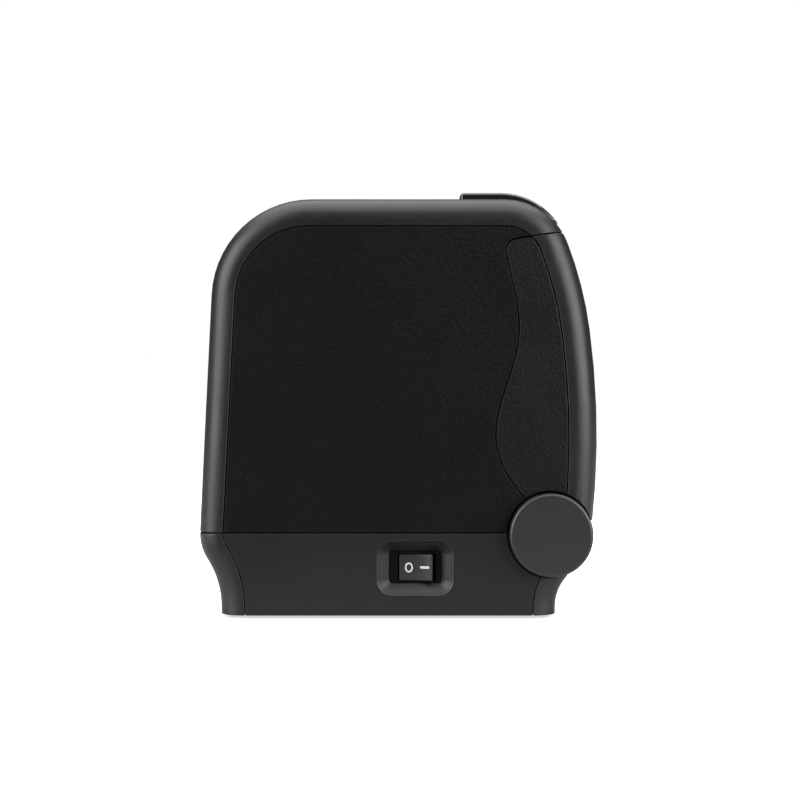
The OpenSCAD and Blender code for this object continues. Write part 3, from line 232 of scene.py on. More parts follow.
def make_handling():
    """Slow changes of gloss from handling, and a thin dust that settles on what faces up."""
    w, given, out = effect(
        "handling",
        [("Place", "Vector", (0, 0, 0)), ("Dust", "Float", 0.3)],
        ["Smudge", "Dust Mask"],
    )
    place = given["Place"]
    clouds = w.node("TexNoise", Vector=place, Scale=28.0, Detail=4.0, Roughness=0.55, Distortion=0.4)
    w.set(out["Smudge"], w.spread(clouds.outputs[0], 0.35, 0.7, 0.0, 1.0))
    motes = w.node("TexNoise", Vector=place, Scale=900.0, Detail=2.0, Roughness=0.5)
    facing = w.node("SeparateXYZ", i0=w.node("TexCoord").outputs["Normal"]).outputs["Z"]
    upward = w.spread(facing, 0.3, 1.0, 0.0, 1.0)
    settled = w.math("MULTIPLY", upward, w.spread(motes.outputs[0], 0.45, 0.75, 0.15, 1.0))
    w.set(out["Dust Mask"], w.math("MULTIPLY", settled, given["Dust"], clamp=True))
    return w.tree


def make_brushing():
    """Long fine scratches along one axis, as on rolled or ground metal."""
    w, given, out = effect(
        "brushing",
        [("Place", "Vector", (0, 0, 0)), ("Stretch", "Vector", (20, 1600, 1600))],
        ["Height", "Streak"],
    )
    along = w.node("VectorMath", {"operation": "MULTIPLY"}, i0=given["Place"], i1=given["Stretch"])
    lines = w.node("TexNoise", Vector=along.outputs[0], Scale=1.0, Detail=3.0, Roughness=0.6)
    w.set(out["Height"], lines.outputs[0])
    w.set(out["Streak"], w.spread(lines.outputs[0], 0.3, 0.7, 0.0, 1.0))
    return w.tree


SPARK_GRAIN = make_spark_grain()
HANDLING = make_handling()
BRUSHING = make_brushing()


# Materials

MATERIALS = {}
GLOSS_CHANGE = 0.06


def start_material(name, roughness, metallic=0.0, **fixed):
    """Enter a material, with constants straight on its Principled surface's sockets.

    Gives its wiring, the surface's sockets and the Object coordinates.
    """
    material = bpy.data.materials.new(name)
    material.use_nodes = True
    MATERIALS[name] = material
    surface = material.node_tree.nodes["Principled BSDF"].inputs
    for label, value in {"Roughness": roughness, "Metallic": metallic, **fixed}.items():
        surface[label.replace("_", " ")].default_value = value
    w = Wiring(material.node_tree)
    return w, surface, w.node("TexCoord").outputs["Object"]


def tint(colour, factor=1.0, lift=0.0):
    """The colour times a factor plus a lift, as an opaque colour value."""
    return (*(min(1.0, factor * c + lift) for c in colour), 1.0)


def emboss(w, surface, height, depth, strength=1.0):
    bump = w.node("Bump", Strength=strength, Distance=depth, Height=height)
    w.set(surface["Normal"], bump.outputs[0])


def moulded_plastic(
    name, colour, roughness, pebble, depth, dust=0.25, haze=0.35, specular=0.5, fleck=0.004
):
    """Injection-moulded plastic with a spark-eroded texture, handling marks and settled dust."""
    w, surface, place = start_material(name, roughness, Specular_IOR_Level=specular)
    grain = w.use(SPARK_GRAIN, Place=place, Pebble_Size=pebble, Haze=haze)
    touched = w.use(HANDLING, Place=place, Dust=dust)
    specks = w.math("MULTIPLY", grain["Speck"], 0.5)
    mottled = w.blend(specks, tint(colour), tint(colour, 1.35, fleck))
    dusted = w.blend(touched["Dust Mask"], mottled, tint(colour, 0.75, 0.035))
    w.set(surface["Base Color"], dusted)
    smooth, dull = roughness - GLOSS_CHANGE / 2, roughness + GLOSS_CHANGE / 2
    w.set(surface["Roughness"], w.spread(touched["Smudge"], 0.0, 1.0, smooth, dull))
    emboss(w, surface, grain["Height"], depth)


def polished_plastic(name, colour, roughness=0.09):
    """Gloss plastic with the faint orange peel and fine rub marks of a polished mould."""
    w, surface, place = start_material(name, roughness, Coat_Weight=0.4, Coat_Roughness=0.04)
    touched = w.use(HANDLING, Place=place, Dust=0.12)
    dusted = w.blend(touched["Dust Mask"], tint(colour), tint(colour, 1.0, 0.05))
    w.set(surface["Base Color"], dusted)
    rubbed = w.spread(touched["Smudge"], 0.0, 1.0, roughness, roughness + 0.08)
    w.set(surface["Roughness"], rubbed)
    peel = w.node("TexNoise", Vector=place, Scale=220.0, Detail=1.0)
    emboss(w, surface, peel.outputs[0], 0.00002, 0.35)


def rolled_metal(name, colour, roughness, stretch):
    """Sheet or ground metal with fine scratches along one axis."""
    w, surface, place = start_material(name, roughness, metallic=1.0)
    lines = w.use(BRUSHING, Place=place, Stretch=stretch)
    touched = w.use(HANDLING, Place=place, Dust=0.1)
    streaks = w.math("MULTIPLY", lines["Streak"], 0.5)
    w.set(surface["Base Color"], w.blend(streaks, tint(colour), tint(colour, 0.8)))
    scratched = w.spread(lines["Streak"], 0, 1, roughness - 0.06, roughness + 0.08)
    dull = w.math("ADD", scratched, w.math("MULTIPLY", touched["Smudge"], 0.06))
    w.set(surface["Roughness"], dull)
    emboss(w, surface, lines["Height"], 0.000012, 0.6)


PANEL_BLACK = (0.0021, 0.0018, 0.0021)

moulded_plastic("cover_satin", (0.0040, 0.0036, 0.0041), 0.42, 0.00045, 0.00003)
moulded_plastic(
    "panel_grain", PANEL_BLACK, 0.5, 0.0011, 0.0002, haze=0.6, specular=0.155, fleck=0.016
)
moulded_plastic(
    "leaf_grain", PANEL_BLACK, 0.5, 0.0010, 0.00016, haze=0.6, specular=0.24, fleck=0.018
)
moulded_plastic("cap_satin", (0.0205, 0.0195, 0.0212), 0.34, 0.00035, 0.00002)
moulded_plastic(
    "switch_black", (0.0015, 0.0015, 0.0015), 0.5, 0.0005, 0.00001, dust=0.05, specular=0.12, fleck=0.0
)
moulded_plastic("rocker_satin", (0.022, 0.022, 0.024), 0.32, 0.0005, 0.000008, dust=0.1)
polished_plastic("gloss_black", (0.008, 0.008, 0.009))
moulded_plastic("inner_black", (0.02, 0.02, 0.022), 0.6, 0.0008, 0.00005, dust=0.4)
moulded_plastic("button_grey", (0.06, 0.06, 0.065), 0.45, 0.0004, 0.00002)
polished_plastic("lens", (0.3, 0.34, 0.34), 0.25)
polished_plastic("board_green", (0.01, 0.07, 0.03), 0.3)
moulded_plastic("rubber_black", (0.015, 0.015, 0.015), 0.8, 0.0003, 0.00003)
rolled_metal("steel_plate", (0.46, 0.47, 0.48), 0.36, (30, 900, 900))
rolled_metal("steel_bright", (0.66, 0.66, 0.67), 0.22, (25, 2200, 2200))
rolled_metal("aluminium", (0.68, 0.69, 0.7), 0.34, (25, 1500, 1500))
polished_plastic("ceramic", (0.78, 0.76, 0.7), 0.2)
moulded_plastic("gear_plastic", (0.6, 0.57, 0.49), 0.42, 0.0005, 0.00001, dust=0.1)
rolled_metal("brass", (0.72, 0.52, 0.22), 0.3, (900, 900, 60))
moulded_plastic("socket_black", (0.014, 0.014, 0.014), 0.45, 0.0006, 0.00002)
moulded_plastic("mark_white", (0.62, 0.62, 0.64), 0.5, 0.0004, 0.00001)


# Making pieces

CREASE = math.radians(32)
ROUNDING_STEPS = 2
WIRE_SIDES = 10
SAME_POINT = 0.000001


def add_object(name, mesh):
    piece = bpy.data.objects.new(name, mesh)
    bpy.context.scene.collection.objects.link(piece)
    return piece


def finish(piece, body, slot, replaced=(), material=None):
    """Give a finished shape its material and its body, and hide the CAD nodes it stands for."""
    piece.data.materials.clear()
    piece.data.materials.append(MATERIALS[material or slot])
    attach(piece, body)
    if replaced:
        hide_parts(*replaced)


def stand_for(piece, node, material=None):
    finish(piece, BODY_OF[node], SLOT_OF[node], [node], material)


def round_edges(piece, edge, clamp=True):
    """Rounded edges that keep the flat faces flat; clamp holds all to what the tightest spot allows."""
    bevel = piece.modifiers.new("rounded edges", "BEVEL")
    bevel.width = edge
    bevel.segments = ROUNDING_STEPS
    bevel.limit_method = "ANGLE"
    bevel.angle_limit = CREASE
    bevel.miter_outer = "MITER_ARC"
    bevel.harden_normals = True
    bevel.use_clamp_overlap = clamp
    flat = piece.modifiers.new("flat faces", "WEIGHTED_NORMAL")
    flat.keep_sharp = True


def settle(piece):
    """Keep what the piece's modifiers make as its own mesh."""
    evaluated = piece.evaluated_get(bpy.context.evaluated_depsgraph_get())
    mesh = bpy.data.meshes.new_from_object(evaluated)
    mesh.name = piece.name
    piece.modifiers.clear()
    piece.data = mesh


class Shape:
    """A mesh made face by face in millimetres and handed over in metres."""

    def __init__(self):
        self.work = bmesh.new()

    def loop(self, points):
        return [self.work.verts.new([c * MM for c in p]) for p in points]

    def bridge(self, a, b):
        """Quads between two closed loops of as many points."""
        for i in range(len(a)):
            j = (i + 1) % len(a)
            self.work.faces.new((a[i], a[j], b[j], b[i]))

    def stack(self, loops, closed=False):
        """A skin over loops of points; closed joins the last to the first, else both ends get a cap."""
        rings = [self.loop(points) for points in loops]
        for a, b in zip(rings, rings[1:]):
            self.bridge(a, b)
        if closed:
            self.bridge(rings[-1], rings[0])
        else:
            self.work.faces.new(rings[0])
            self.work.faces.new(rings[-1])
        return self

    def lathe(self, profile, centre, axis=0, steps=48, closed=False):
        """A turned form: (place, radius) pairs along the axis through centre."""
        return self.stack([circle(axis, place, centre, r, steps) for place, r in profile], closed)

    def block(self, low, high):
        """A box between two corners."""
        rim = ((low[0], low[1]), (high[0], low[1]), (high[0], high[1]), (low[0], high[1]))
        return self.stack([[(x, y, z) for x, y in rim] for z in (low[2], high[2])])

    def tube(self, path, radius):
        """A round wire along a path of points, with flat ends."""
        last = len(path) - 1
        turns = [2 * math.pi * k / WIRE_SIDES for k in range(WIRE_SIDES)]
        loops = []
        for i, here in enumerate(path):
            ahead = Vector(path[min(i + 1, last)]) - Vector(path[max(i - 1, 0)])
            ahead.normalize()
            across = Vector((0, 0, 1)) if abs(ahead.z) < 0.9 else Vector((1, 0, 0))
            side = ahead.cross(across).normalized()
            up = side.cross(ahead)
            rim = [math.cos(t) * side + math.sin(t) * up for t in turns]
            loops.append([Vector(here) + radius * spoke for spoke in rim])
        return self.stack(loops)

    def piece(self, name, smooth=35):
        """The shape as an object, shaded smooth over edges that turn less than smooth degrees."""
        bmesh.ops.remove_doubles(self.work, verts=self.work.verts, dist=SAME_POINT)
        bmesh.ops.recalc_face_normals(self.work, faces=self.work.faces)
        for face in self.work.faces:
            face.smooth = True
        for edge in self.work.edges:
            if len(edge.link_faces) == 2:
                edge.smooth = edge.calc_face_angle(0.0) < math.radians(smooth)
        mesh = bpy.data.meshes.new(name)
        self.work.to_mesh(mesh)
        self.work.free()
        return add_object(name, mesh)


def circle(axis, place, centre, radius, steps):
    """Points of a circle across the axis (0 X, 1 Y, 2 Z); centre holds the other two coordinates."""
    points = []
    for i in range(steps):
        turn = 2 * math.pi * i / steps
        point = [centre[0] + radius * math.cos(turn), centre[1] + radius * math.sin(turn)]
        point.insert(axis, place)
        points.append(point)
    return points


def cut(piece, tool):
    """Take the tool's form out of the piece and drop the tool."""
    carve = piece.modifiers.new("cut", "BOOLEAN")
    carve.operation = "DIFFERENCE"
    carve.solver = "EXACT"
    carve.use_self = True
    carve.object = tool
    settle(piece)
    bpy.data.objects.remove(tool)
    return piece


def box_mm(node):
    """The node's lowest and highest corners at rest, in millimetres."""
    return [Vector(corner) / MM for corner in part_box(node)]


def corners_mm(node):
    return [v.co / MM for v in frame["nodes"][node].data.vertices]


def joint(name):
    return next(j for j in frame["record"]["behaviour"]["joints"] if j["name"] == name)


def axis_of(name):
    """The (y, z) of a cross-shaft's axis in millimetres."""
    return [c / MM for c in joint(name)["pos_m"][1:]]


# Moulded and bent parts

# Nodes with edges so near each other that the rounding has to be clamped.
TIGHT = ("paper_bucket", "switch_frame", "print_frame", "open_button", "platen_bracket", "tear_bar")
WELD = 0.000003
NEARLY_FLAT = math.radians(0.2)


def welded_copy(node):
    """A node's mesh as one connected surface, with flat areas as single faces."""
    mesh = frame["nodes"][node].data.copy()
    work = bmesh.new()
    work.from_mesh(mesh)
    bmesh.ops.remove_doubles(work, verts=work.verts, dist=WELD)
    parts = {"verts": work.verts, "edges": work.edges}
    bmesh.ops.dissolve_limit(work, angle_limit=NEARLY_FLAT, delimit={"NORMAL"}, **parts)
    for face in work.faces:
        face.smooth = True
    work.to_mesh(mesh)
    work.free()
    return mesh


def softened(node, name, edge, material=None):
    """The node's own shape with its sharp edges rounded, as a mould's or a press's edges are."""
    piece = add_object(name, welded_copy(node))
    round_edges(piece, edge, clamp=node in TIGHT)
    stand_for(piece, node, material)
    return piece


# The rounding of each outer part, in metres.
COVER_EDGE = 0.00035
LEAF_EDGE = 0.0005
PLINTH_EDGE = 0.0002

# node: (name of the piece, rounding in metres, material other than the slot's)
COVERS = {
    "top_cover": ("wrap_cover", COVER_EDGE, None),
    "door_shell": ("door_front", COVER_EDGE, None),
    "side_panel_left": ("side_inlay_left", COVER_EDGE, None),
    "side_panel_right": ("side_inlay_right", COVER_EDGE, None),
    "door_cheek_left": ("door_leaf_left", LEAF_EDGE, "leaf_grain"),
    "door_cheek_right": ("door_leaf_right", LEAF_EDGE, "leaf_grain"),
    "base_front_flare": ("plinth_front", PLINTH_EDGE, None),
    "base_rear_flare": ("plinth_rear", PLINTH_EDGE, None),
    "base_skirt_left": ("plinth_side_left", PLINTH_EDGE, None),
    "base_skirt_right": ("plinth_side_right", PLINTH_EDGE, None),
    "hinge_cap_left": ("round_cap_left", COVER_EDGE, "cap_satin"),
    "hinge_cap_right": ("round_cap_right", COVER_EDGE, "cap_satin"),
    "door_lip": ("gloss_lip", 0.0003, None),
    "feed_button": ("feed_key", 0.00015, None),
    "open_button": ("open_key", 0.0003, None),
    "switch_frame": ("switch_body", 0.0003, "switch_black"),
    "power_rocker": ("switch_rocker", 0.0005, "rocker_satin"),
}
WORKS = {
    "base_shell": ("base_moulding", 0.0003, None),
    "rubber_feet": ("foot_pads", 0.0005, None),
    "base_screws": ("base_screw_heads", 0.00015, None),
    "led_lenses": ("lamp_lenses", 0.0002, None),
    "door_liner": ("door_lining", 0.0003, None),
    "tear_bar": ("tear_edge", 0.00008, None),
    "platen_bracket": ("roller_bracket", 0.0002, None),
    "platen_bushes": ("roller_bushes", 0.0002, None),
    "paper_bucket": ("paper_trough", 0.0003, None),
    "print_frame": ("works_frame", 0.0002, None),
    "heat_sink": ("head_carrier", 0.0002, None),
    "cutter_frame": ("cutter_tray", 0.0002, None),
    "latch_hooks": ("latch_levers", 0.0002, None),
    "socket_plate": ("rear_plate", 0.00015, None),
    "paper_end_sensor": ("paper_sensor", 0.0004, None),
    "frame_screws": ("frame_screw_heads", 0.00015, None),
    "power_socket": ("power_housing", 0.0003, None),
    "drawer_socket": ("drawer_housing", 0.0003, None),
    "network_socket": ("network_shell", 0.0002, None),
    "usb_socket": ("data_shell", 0.0002, None),
    "panel_board": ("key_board", 0.0001, None),
    "main_board": ("logic_board", 0.0001, None),
}
for node, (name, edge, material) in {**COVERS, **WORKS}.items():
    softened(node, name, edge, material)


# The gloss bezel, whose outer edges are the roundest

BEZEL_EDGE = 0.0012
BEZEL_STEPS = 4
BEZEL_LOW, BEZEL_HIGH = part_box("control_bezel")
SAME_PLANE = 0.0002
SHARP_FOOT = 0.0005
REAR_DEPTH = 0.001
KEY_RIM_DEPTH = 0.0003
KEY_RIM_WEIGHT = 0.25


def bezel_side():
    """How far out the flat top of the bezel reaches."""
    points = [v.co for v in frame["nodes"]["control_bezel"].data.vertices]
    return max(abs(p.x) for p in points if p.z > BEZEL_HIGH.z - SAME_PLANE)


def bezel_weight(point, side):
    """Full along the bezel's two sides and the rear of its top, less on the rims in its top."""
    at_side = abs(abs(point.x) - side) < SAME_PLANE and point.z > BEZEL_LOW.z + SHARP_FOOT
    at_rear = point.y > BEZEL_HIGH.y - REAR_DEPTH and point.z > BEZEL_HIGH.z - BEZEL_EDGE
    if at_side or at_rear:
        return 1.0
    return KEY_RIM_WEIGHT if point.z > BEZEL_HIGH.z - KEY_RIM_DEPTH else 0.0


def weigh_bezel(mesh):
    """Bevel weights for the bezel's sharp edges: the lower weight of an edge's two ends."""
    side = bezel_side()
    work = bmesh.new()
    work.from_mesh(mesh)
    weight = work.edges.layers.float.new("bevel_weight_edge")
    for edge in work.edges:
        if len(edge.link_faces) == 2 and edge.calc_face_angle(0.0) > CREASE:
            edge[weight] = min(bezel_weight(v.co, side) for v in edge.verts)
    work.to_mesh(mesh)
    work.free()


bezel = softened("control_bezel", "gloss_bezel", BEZEL_EDGE)
weigh_bezel(bezel.data)
bezel.modifiers["rounded edges"].limit_method = "WEIGHT"
bezel.modifiers["rounded edges"].segments = BEZEL_STEPS


# Hidden strips and lugs that keep the light out of part lines

# A strip reaches this far to each side of its seam, and lies this far behind the leaf.
STRIP_HALF = 0.9
STRIP_FRONT = 0.02
STRIP_BACK = 0.26
# The seam is the leaf's front edge: its points lie this far from the leaf's rear, foot and head.
SEAM_CLEAR = {"rear": 12, "foot": 5, "head": 1}
SEAM_HEADROOM = 0.3
LUG_X = (63.5, 64.2)
LUG_SIZE = 2.6


def seam_points(node):
    """The (z, y) points of a door leaf's front seam, and the x of the leaf's inner face."""
    low, high = box_mm(node)
    corners = corners_mm(node)
    inner = min(corners, key=lambda c: abs(c.x)).x
    face = {(round(c.z, 2), round(c.y, 2)) for c in corners if abs(c.x - inner) < 0.01}
    rear = high.y - SEAM_CLEAR["rear"]
    foot, head = low.z + SEAM_CLEAR["foot"], high.z - SEAM_CLEAR["head"]
    seam = sorted((z, y) for z, y in face if y < rear and foot < z < head)
    reach = (high.z - SEAM_HEADROOM - seam[-1][0]) / (seam[-1][0] - seam[-2][0])
    seam.append(tuple(b + reach * (b - a) for a, b in zip(seam[-2], seam[-1])))
    return seam, inner


def seam_strips():
    """Thin strips behind the side seams of the door."""
    shape = Shape()
    for node in ("door_cheek_left", "door_cheek_right"):
        seam, inner = seam_points(node)
        front = inner - math.copysign(STRIP_FRONT, inner)
        back = inner - math.copysign(STRIP_BACK, inner)
        rim = ((front, -1), (front, 1), (back, 1), (back, -1))
        loops = []
        for i, (z, y) in enumerate(seam):
            ahead = Vector(seam[min(i + 1, len(seam) - 1)]) - Vector(seam[max(i - 1, 0)])
            dz = -STRIP_HALF * ahead.y / ahead.length
            dy = STRIP_HALF * ahead.x / ahead.length
            loops.append([(x, y + k * dy, z + k * dz) for x, k in rim])
        shape.stack(loops)
    finish(shape.piece("door_seam_strips"), "door", "inner_black")


def seam_lugs():
    """Moulded lugs behind the upper ends of the plinth's rear seams."""
    high = box_mm("base_skirt_left")[1]
    shape = Shape()
    for side in (-1, 1):
        x0, x1 = sorted(side * x for x in LUG_X)
        low_corner = (x0, high.y - LUG_SIZE, high.z - LUG_SIZE)
        shape.block(low_corner, (x1, high.y + 0.4, high.z - 0.2))
    lugs = shape.piece("plinth_seam_lugs")
    round_edges(lugs, 0.0002)
    finish(lugs, "body", "inner_black")


seam_strips()
seam_lugs()


# Gears

# In modules: how far the tips lie above the pitch circle, and the roots and the rim below it.
ADDENDUM = 0.9
DEDENDUM = 1.1
RIM_DEPTH = 2.4
FLANK_SLOPE = math.tan(math.radians(21))
# Half a tooth at the pitch circle in degrees, times the number of teeth; 90 would leave no play.
TOOTH_ANGLE = 82
# A tip's broken edge: its height and its width.
TIP_HEIGHT = 0.12
TIP_TRIM = 0.1
GEAR_EDGE = 0.15
WEB_HOLE = 1.9


def tooth_phase(node, teeth, axis):
    """The angle of a tooth's middle and the tip radius, read from the tips of the CAD gear."""
    spots = [complex(c.y - axis[0], c.z - axis[1]) for c in corners_mm(node)]
    tip = max(abs(s) for s in spots)
    lean = sum((s / abs(s)) ** teeth for s in spots if abs(s) > 0.998 * tip)
    return cmath.phase(lean) / teeth, tip


def tooth_loop(x, axis, teeth, phase, tip, module, shrink=0.0):
    """One closed loop round a gear's teeth, eight points to a tooth; shrink pulls it inwards."""
    pitch = teeth * module / 2
    levels = (pitch - DEDENDUM * module, pitch, tip - TIP_HEIGHT, tip)
    points = []
    for tooth in range(teeth):
        for side, order in ((-1, (0, 1, 2, 3)), (1, (3, 2, 1, 0))):
            for k in order:
                radius = levels[k] - shrink
                slope = (radius + shrink - pitch) * FLANK_SLOPE / pitch
                half = math.radians(TOOTH_ANGLE / teeth) - slope
                half -= (TIP_TRIM if k == 3 else 0.0) / pitch + shrink / pitch
                turn = phase + 2 * math.pi * tooth / teeth + side * half
                spoke = (radius * math.cos(turn), radius * math.sin(turn))
                points.append((x, axis[0] + spoke[0], axis[1] + spoke[1]))
    return points


def wheel_inside(x0, x1, rim, hub, bore):
    """A wheel's (x, radius) points from its rim over web, hub and bore back to its rim."""
    web0, web1 = x0 + 0.3 * (x1 - x0), x1 - 0.3 * (x1 - x0)
    return [
        (x1, rim), (web1 + 0.2, rim - 0.1), (web1, rim - 0.3),
        (web1, hub + 0.3), (web1 + 0.2, hub + 0.1), (x1, hub),
        (x1, bore + GEAR_EDGE), (x1 - GEAR_EDGE, bore),
        (x0 + GEAR_EDGE, bore), (x0, bore + GEAR_EDGE),
        (x0, hub), (web0 - 0.2, hub + 0.1), (web0, hub + 0.3),
        (web0, rim - 0.3), (web0 - 0.2, rim - 0.1), (x0, rim),
    ]


def gear(name, node, joint_name, teeth, bore, hub=0.0, holes=0, hole_ring=0.0, width_of=None):
    """A moulded spur gear: a wheel with web and hub, or, if hub is 0, a pinion on its shaft.

    A pinion's toothed stretch is as wide as another gear and in its plane.
    """
    low, high = box_mm(node)
    x0, x1 = [corner.x for corner in box_mm(width_of or node)]
    axis = axis_of(joint_name)
    phase, tip = tooth_phase(node, teeth, axis)
    steps = 8 * teeth
    module = tip / (teeth / 2 + ADDENDUM)
    shape = Shape()

    def round_loop(x, radius):
        turns = [phase + 2 * math.pi * (i - 3.5) / steps for i in range(steps)]
        return [(x, axis[0] + radius * math.cos(t), axis[1] + radius * math.sin(t)) for t in turns]

    ends = ((x0, GEAR_EDGE), (x0 + GEAR_EDGE, 0), (x1 - GEAR_EDGE, 0), (x1, GEAR_EDGE))
    rim = [tooth_loop(x, axis, teeth, phase, tip, module, shrink) for x, shrink in ends]
    if hub:
        inside = wheel_inside(x0, x1, (teeth / 2 - RIM_DEPTH) * module, hub, bore)
        shape.stack(rim + [round_loop(x, r) for x, r in inside], closed=True)
    else:
        root = [(low.x, bore - 0.1), (low.x + 0.1, bore), (x0, bore)]
        end = [(x1, bore + 0.9), (x1 - 0.25, bore + 0.5), (x1 - 0.25, bore)]
        end += [(high.x - 0.2, bore), (high.x, bore - 0.2)]
        shape.stack([round_loop(x, r) for x, r in root] + rim + [round_loop(x, r) for x, r in end])
    piece = shape.piece(name, 28)
    if holes:
        drills = Shape()
        for i in range(holes):
            turn = 2 * math.pi * i / holes
            spot = (axis[0] + hole_ring * math.cos(turn), axis[1] + hole_ring * math.sin(turn))
            drills.lathe([(x0 - 1, WEB_HOLE), (x1 + 1, WEB_HOLE)], spot, steps=24)
        cut(piece, drills.piece("drills"))
    stand_for(piece, node)


gear("roller_gear", "platen_gear", "platen_spin", 20, 2.52, hub=4.2)
gear("idler_wheel", "idler_gear", "idler_spin", 28, 2.05, hub=3.9, holes=5, hole_ring=6.2)
gear("feed_pinion_turned", "feed_pinion", "feed_motor_spin", 12, 1.2, width_of="platen_gear")
gear("cutter_wheel", "cutter_gear", "cutter_shaft_turn", 30, 1.52, hub=3.6, holes=6, hole_ring=6.7)
gear("cutter_pinion_turned", "cutter_pinion", "cutter_motor_spin", 10, 1.0, width_of="cutter_gear")


# Motors, roller and springs

SPRING_WIRE = 0.3
SPRING_TURNS = 6.0
SPRING_STEPS = 20
# At each end so many turns lie closed; such a turn rises by so many wire radii.
CLOSED_TURNS = 0.8
CLOSED_PITCH = 2.15


def turned(name, node, profile, axis, steps=64, smooth=40):
    stand_for(Shape().lathe(profile, axis, steps=steps).piece(name, smooth), node)


def stepper(name, node, axis, radius, boss):
    """A stepper motor: two cups with a joint between them, a rear bearing and a bored front."""
    low, high = box_mm(node)
    x0, x1, r = low.x, high.x - boss, radius
    middle = (x0 + x1) / 2
    profile = [(x0 + 0.1, 2.6), (x0, 2.8), (x0, 3.5), (x0 + 0.6, 3.8), (x0 + 0.6, 0.8 * r)]
    profile += [(x0, 0.86 * r), (x0, r - 0.9), (x0 + 0.25, r - 0.3), (x0 + 0.9, r)]
    joint_groove = ((-0.4, 0), (-0.25, 0.25), (0.25, 0.25), (0.4, 0))
    profile += [(middle + along, r - depth) for along, depth in joint_groove]
    profile += [(x1 - 1.3, r), (x1 - 1.2, r - 0.3), (x1 - 0.95, r - 0.3), (x1 - 0.85, r)]
    profile += [(x1 - 0.15, r), (x1, r - 0.15)]
    if boss:
        profile += [(x1, 3.0), (high.x - 0.15, 2.9), (high.x, 2.75)]
        profile += [(high.x, 1.7), (high.x - 0.1, 1.6), (high.x - 1.9, 1.6)]
    else:
        profile += [(x1, 2.1), (x1 - 0.1, 2.0), (x1 - 1.1, 2.0)]
    turned(name, node, profile, axis, 72, 35)


def feed_connector():
    """The wire header on the feed motor's can, open towards the rear, with six pins."""
    high = box_mm("feed_motor")[1]
    y0, z0 = axis_of("feed_motor_spin")
    x0, x1, half = high.x - 11.9, high.x - 3.9, 4
    root, mouth = y0 + 11.2, high.y

    def rim(inset, y):
        near, far, up = x0 + inset, x1 - inset, half - inset
        return [(near, y, z0 - up), (far, y, z0 - up), (far, y, z0 + up), (near, y, z0 + up)]

    loops = [rim(0, root), rim(0, mouth), rim(0.8, mouth), rim(0.8, mouth - 1.6)]
    housing = Shape().stack(loops).piece("feed_header")
    round_edges(housing, 0.0002)
    finish(housing, "body", "socket_black")
    pins = Shape()
    for i in range(6):
        x = x0 + 1.5 + i
        pins.block((x - 0.15, mouth - 1.8, z0 - 0.15), (x + 0.15, mouth - 0.3, z0 + 0.15))
    finish(pins.piece("feed_header_pins"), "body", "brass")


def roller():
    """The rubber sleeve with its edges eased, on the steel shaft with its retaining groove."""
    low, high = box_mm("platen_roller")
    axis = axis_of("platen_spin")
    r = (high.z - low.z) / 2
    end = high.x
    edge = [(end - 0.5, r), (end - 0.15, r - 0.15), (end, r - 0.5), (end, 2.7), (end - 0.1, 2.52)]
    sleeve = Shape().lathe([(-x, y) for x, y in edge[::-1]] + edge, axis, steps=96, closed=True)
    stand_for(sleeve.piece("platen_sleeve"), "platen_roller")
    low, high = box_mm("platen_shaft")
    rod = [(low.x, 2.2), (low.x + 0.3, 2.5), (high.x - 1.5, 2.5), (high.x - 1.45, 2.1)]
    rod += [(high.x - 0.85, 2.1), (high.x - 0.8, 2.5), (high.x - 0.3, 2.5), (high.x, 2.2)]
    turned("platen_rod", "platen_shaft", rod, axis)


def springs():
    """Three compression springs with closed ends, made as one wire each."""
    low, high = box_mm("head_springs")
    wire = SPRING_WIRE
    radius = (high.z - low.z) / 2 - wire
    z = (low.z + high.z) / 2
    closed_rise = CLOSED_PITCH * wire
    open_turns = SPRING_TURNS - 2 * CLOSED_TURNS
    open_rise = (high.y - low.y - 2 * wire - 2 * CLOSED_TURNS * closed_rise) / open_turns
    shape = Shape()
    for x in (low.x + radius + wire, 0.0, high.x - radius - wire):
        path = []
        for i in range(int(SPRING_TURNS * SPRING_STEPS) + 1):
            turn = i / SPRING_STEPS
            opened = min(max(turn - CLOSED_TURNS, 0.0), open_turns)
            y = low.y + wire + (turn - opened) * closed_rise + opened * open_rise
            angle = 2 * math.pi * turn
            path.append((x + radius * math.cos(angle), y, z + radius * math.sin(angle)))
        shape.tube(path, wire)
    stand_for(shape.piece("head_coils", 60), "head_springs")


stepper("feed_stepper", "feed_motor", axis_of("feed_motor_spin"), 12.5, 0.0)
stepper("cutter_stepper", "cutter_motor", axis_of("cutter_motor_spin"), 9.5, 0.9)
feed_connector()
roller()
springs()


# Contacts in the sockets and the rear plate's screws

CONTACT_PITCH = 1.02
CONTACT_START = -2.5


def contact_comb(name, node, count, width, root, tip, reach):
    """Sprung contacts side by side in a plug mouth.

    Root and tip are heights over the socket's foot, and reach is how far in (-) they end.
    """
    low, high = box_mm(node)
    middle = (low.x + high.x) / 2
    bend = high.y + 0.3 * CONTACT_START + 0.7 * reach
    places = (
        (high.y + CONTACT_START, low.z + root),
        (bend, low.z + tip),
        (high.y + reach, low.z + tip - 0.5),
    )
    shape = Shape()
    for i in range(count):
        x = middle + (i - (count - 1) / 2) * CONTACT_PITCH
        rim = [(x - width / 2, 0), (x + width / 2, 0), (x + width / 2, 0.25), (x - width / 2, 0.25)]
        shape.stack([[(across, y, z + up) for across, up in rim] for y, z in places])
    finish(shape.piece(name), "body", "brass")


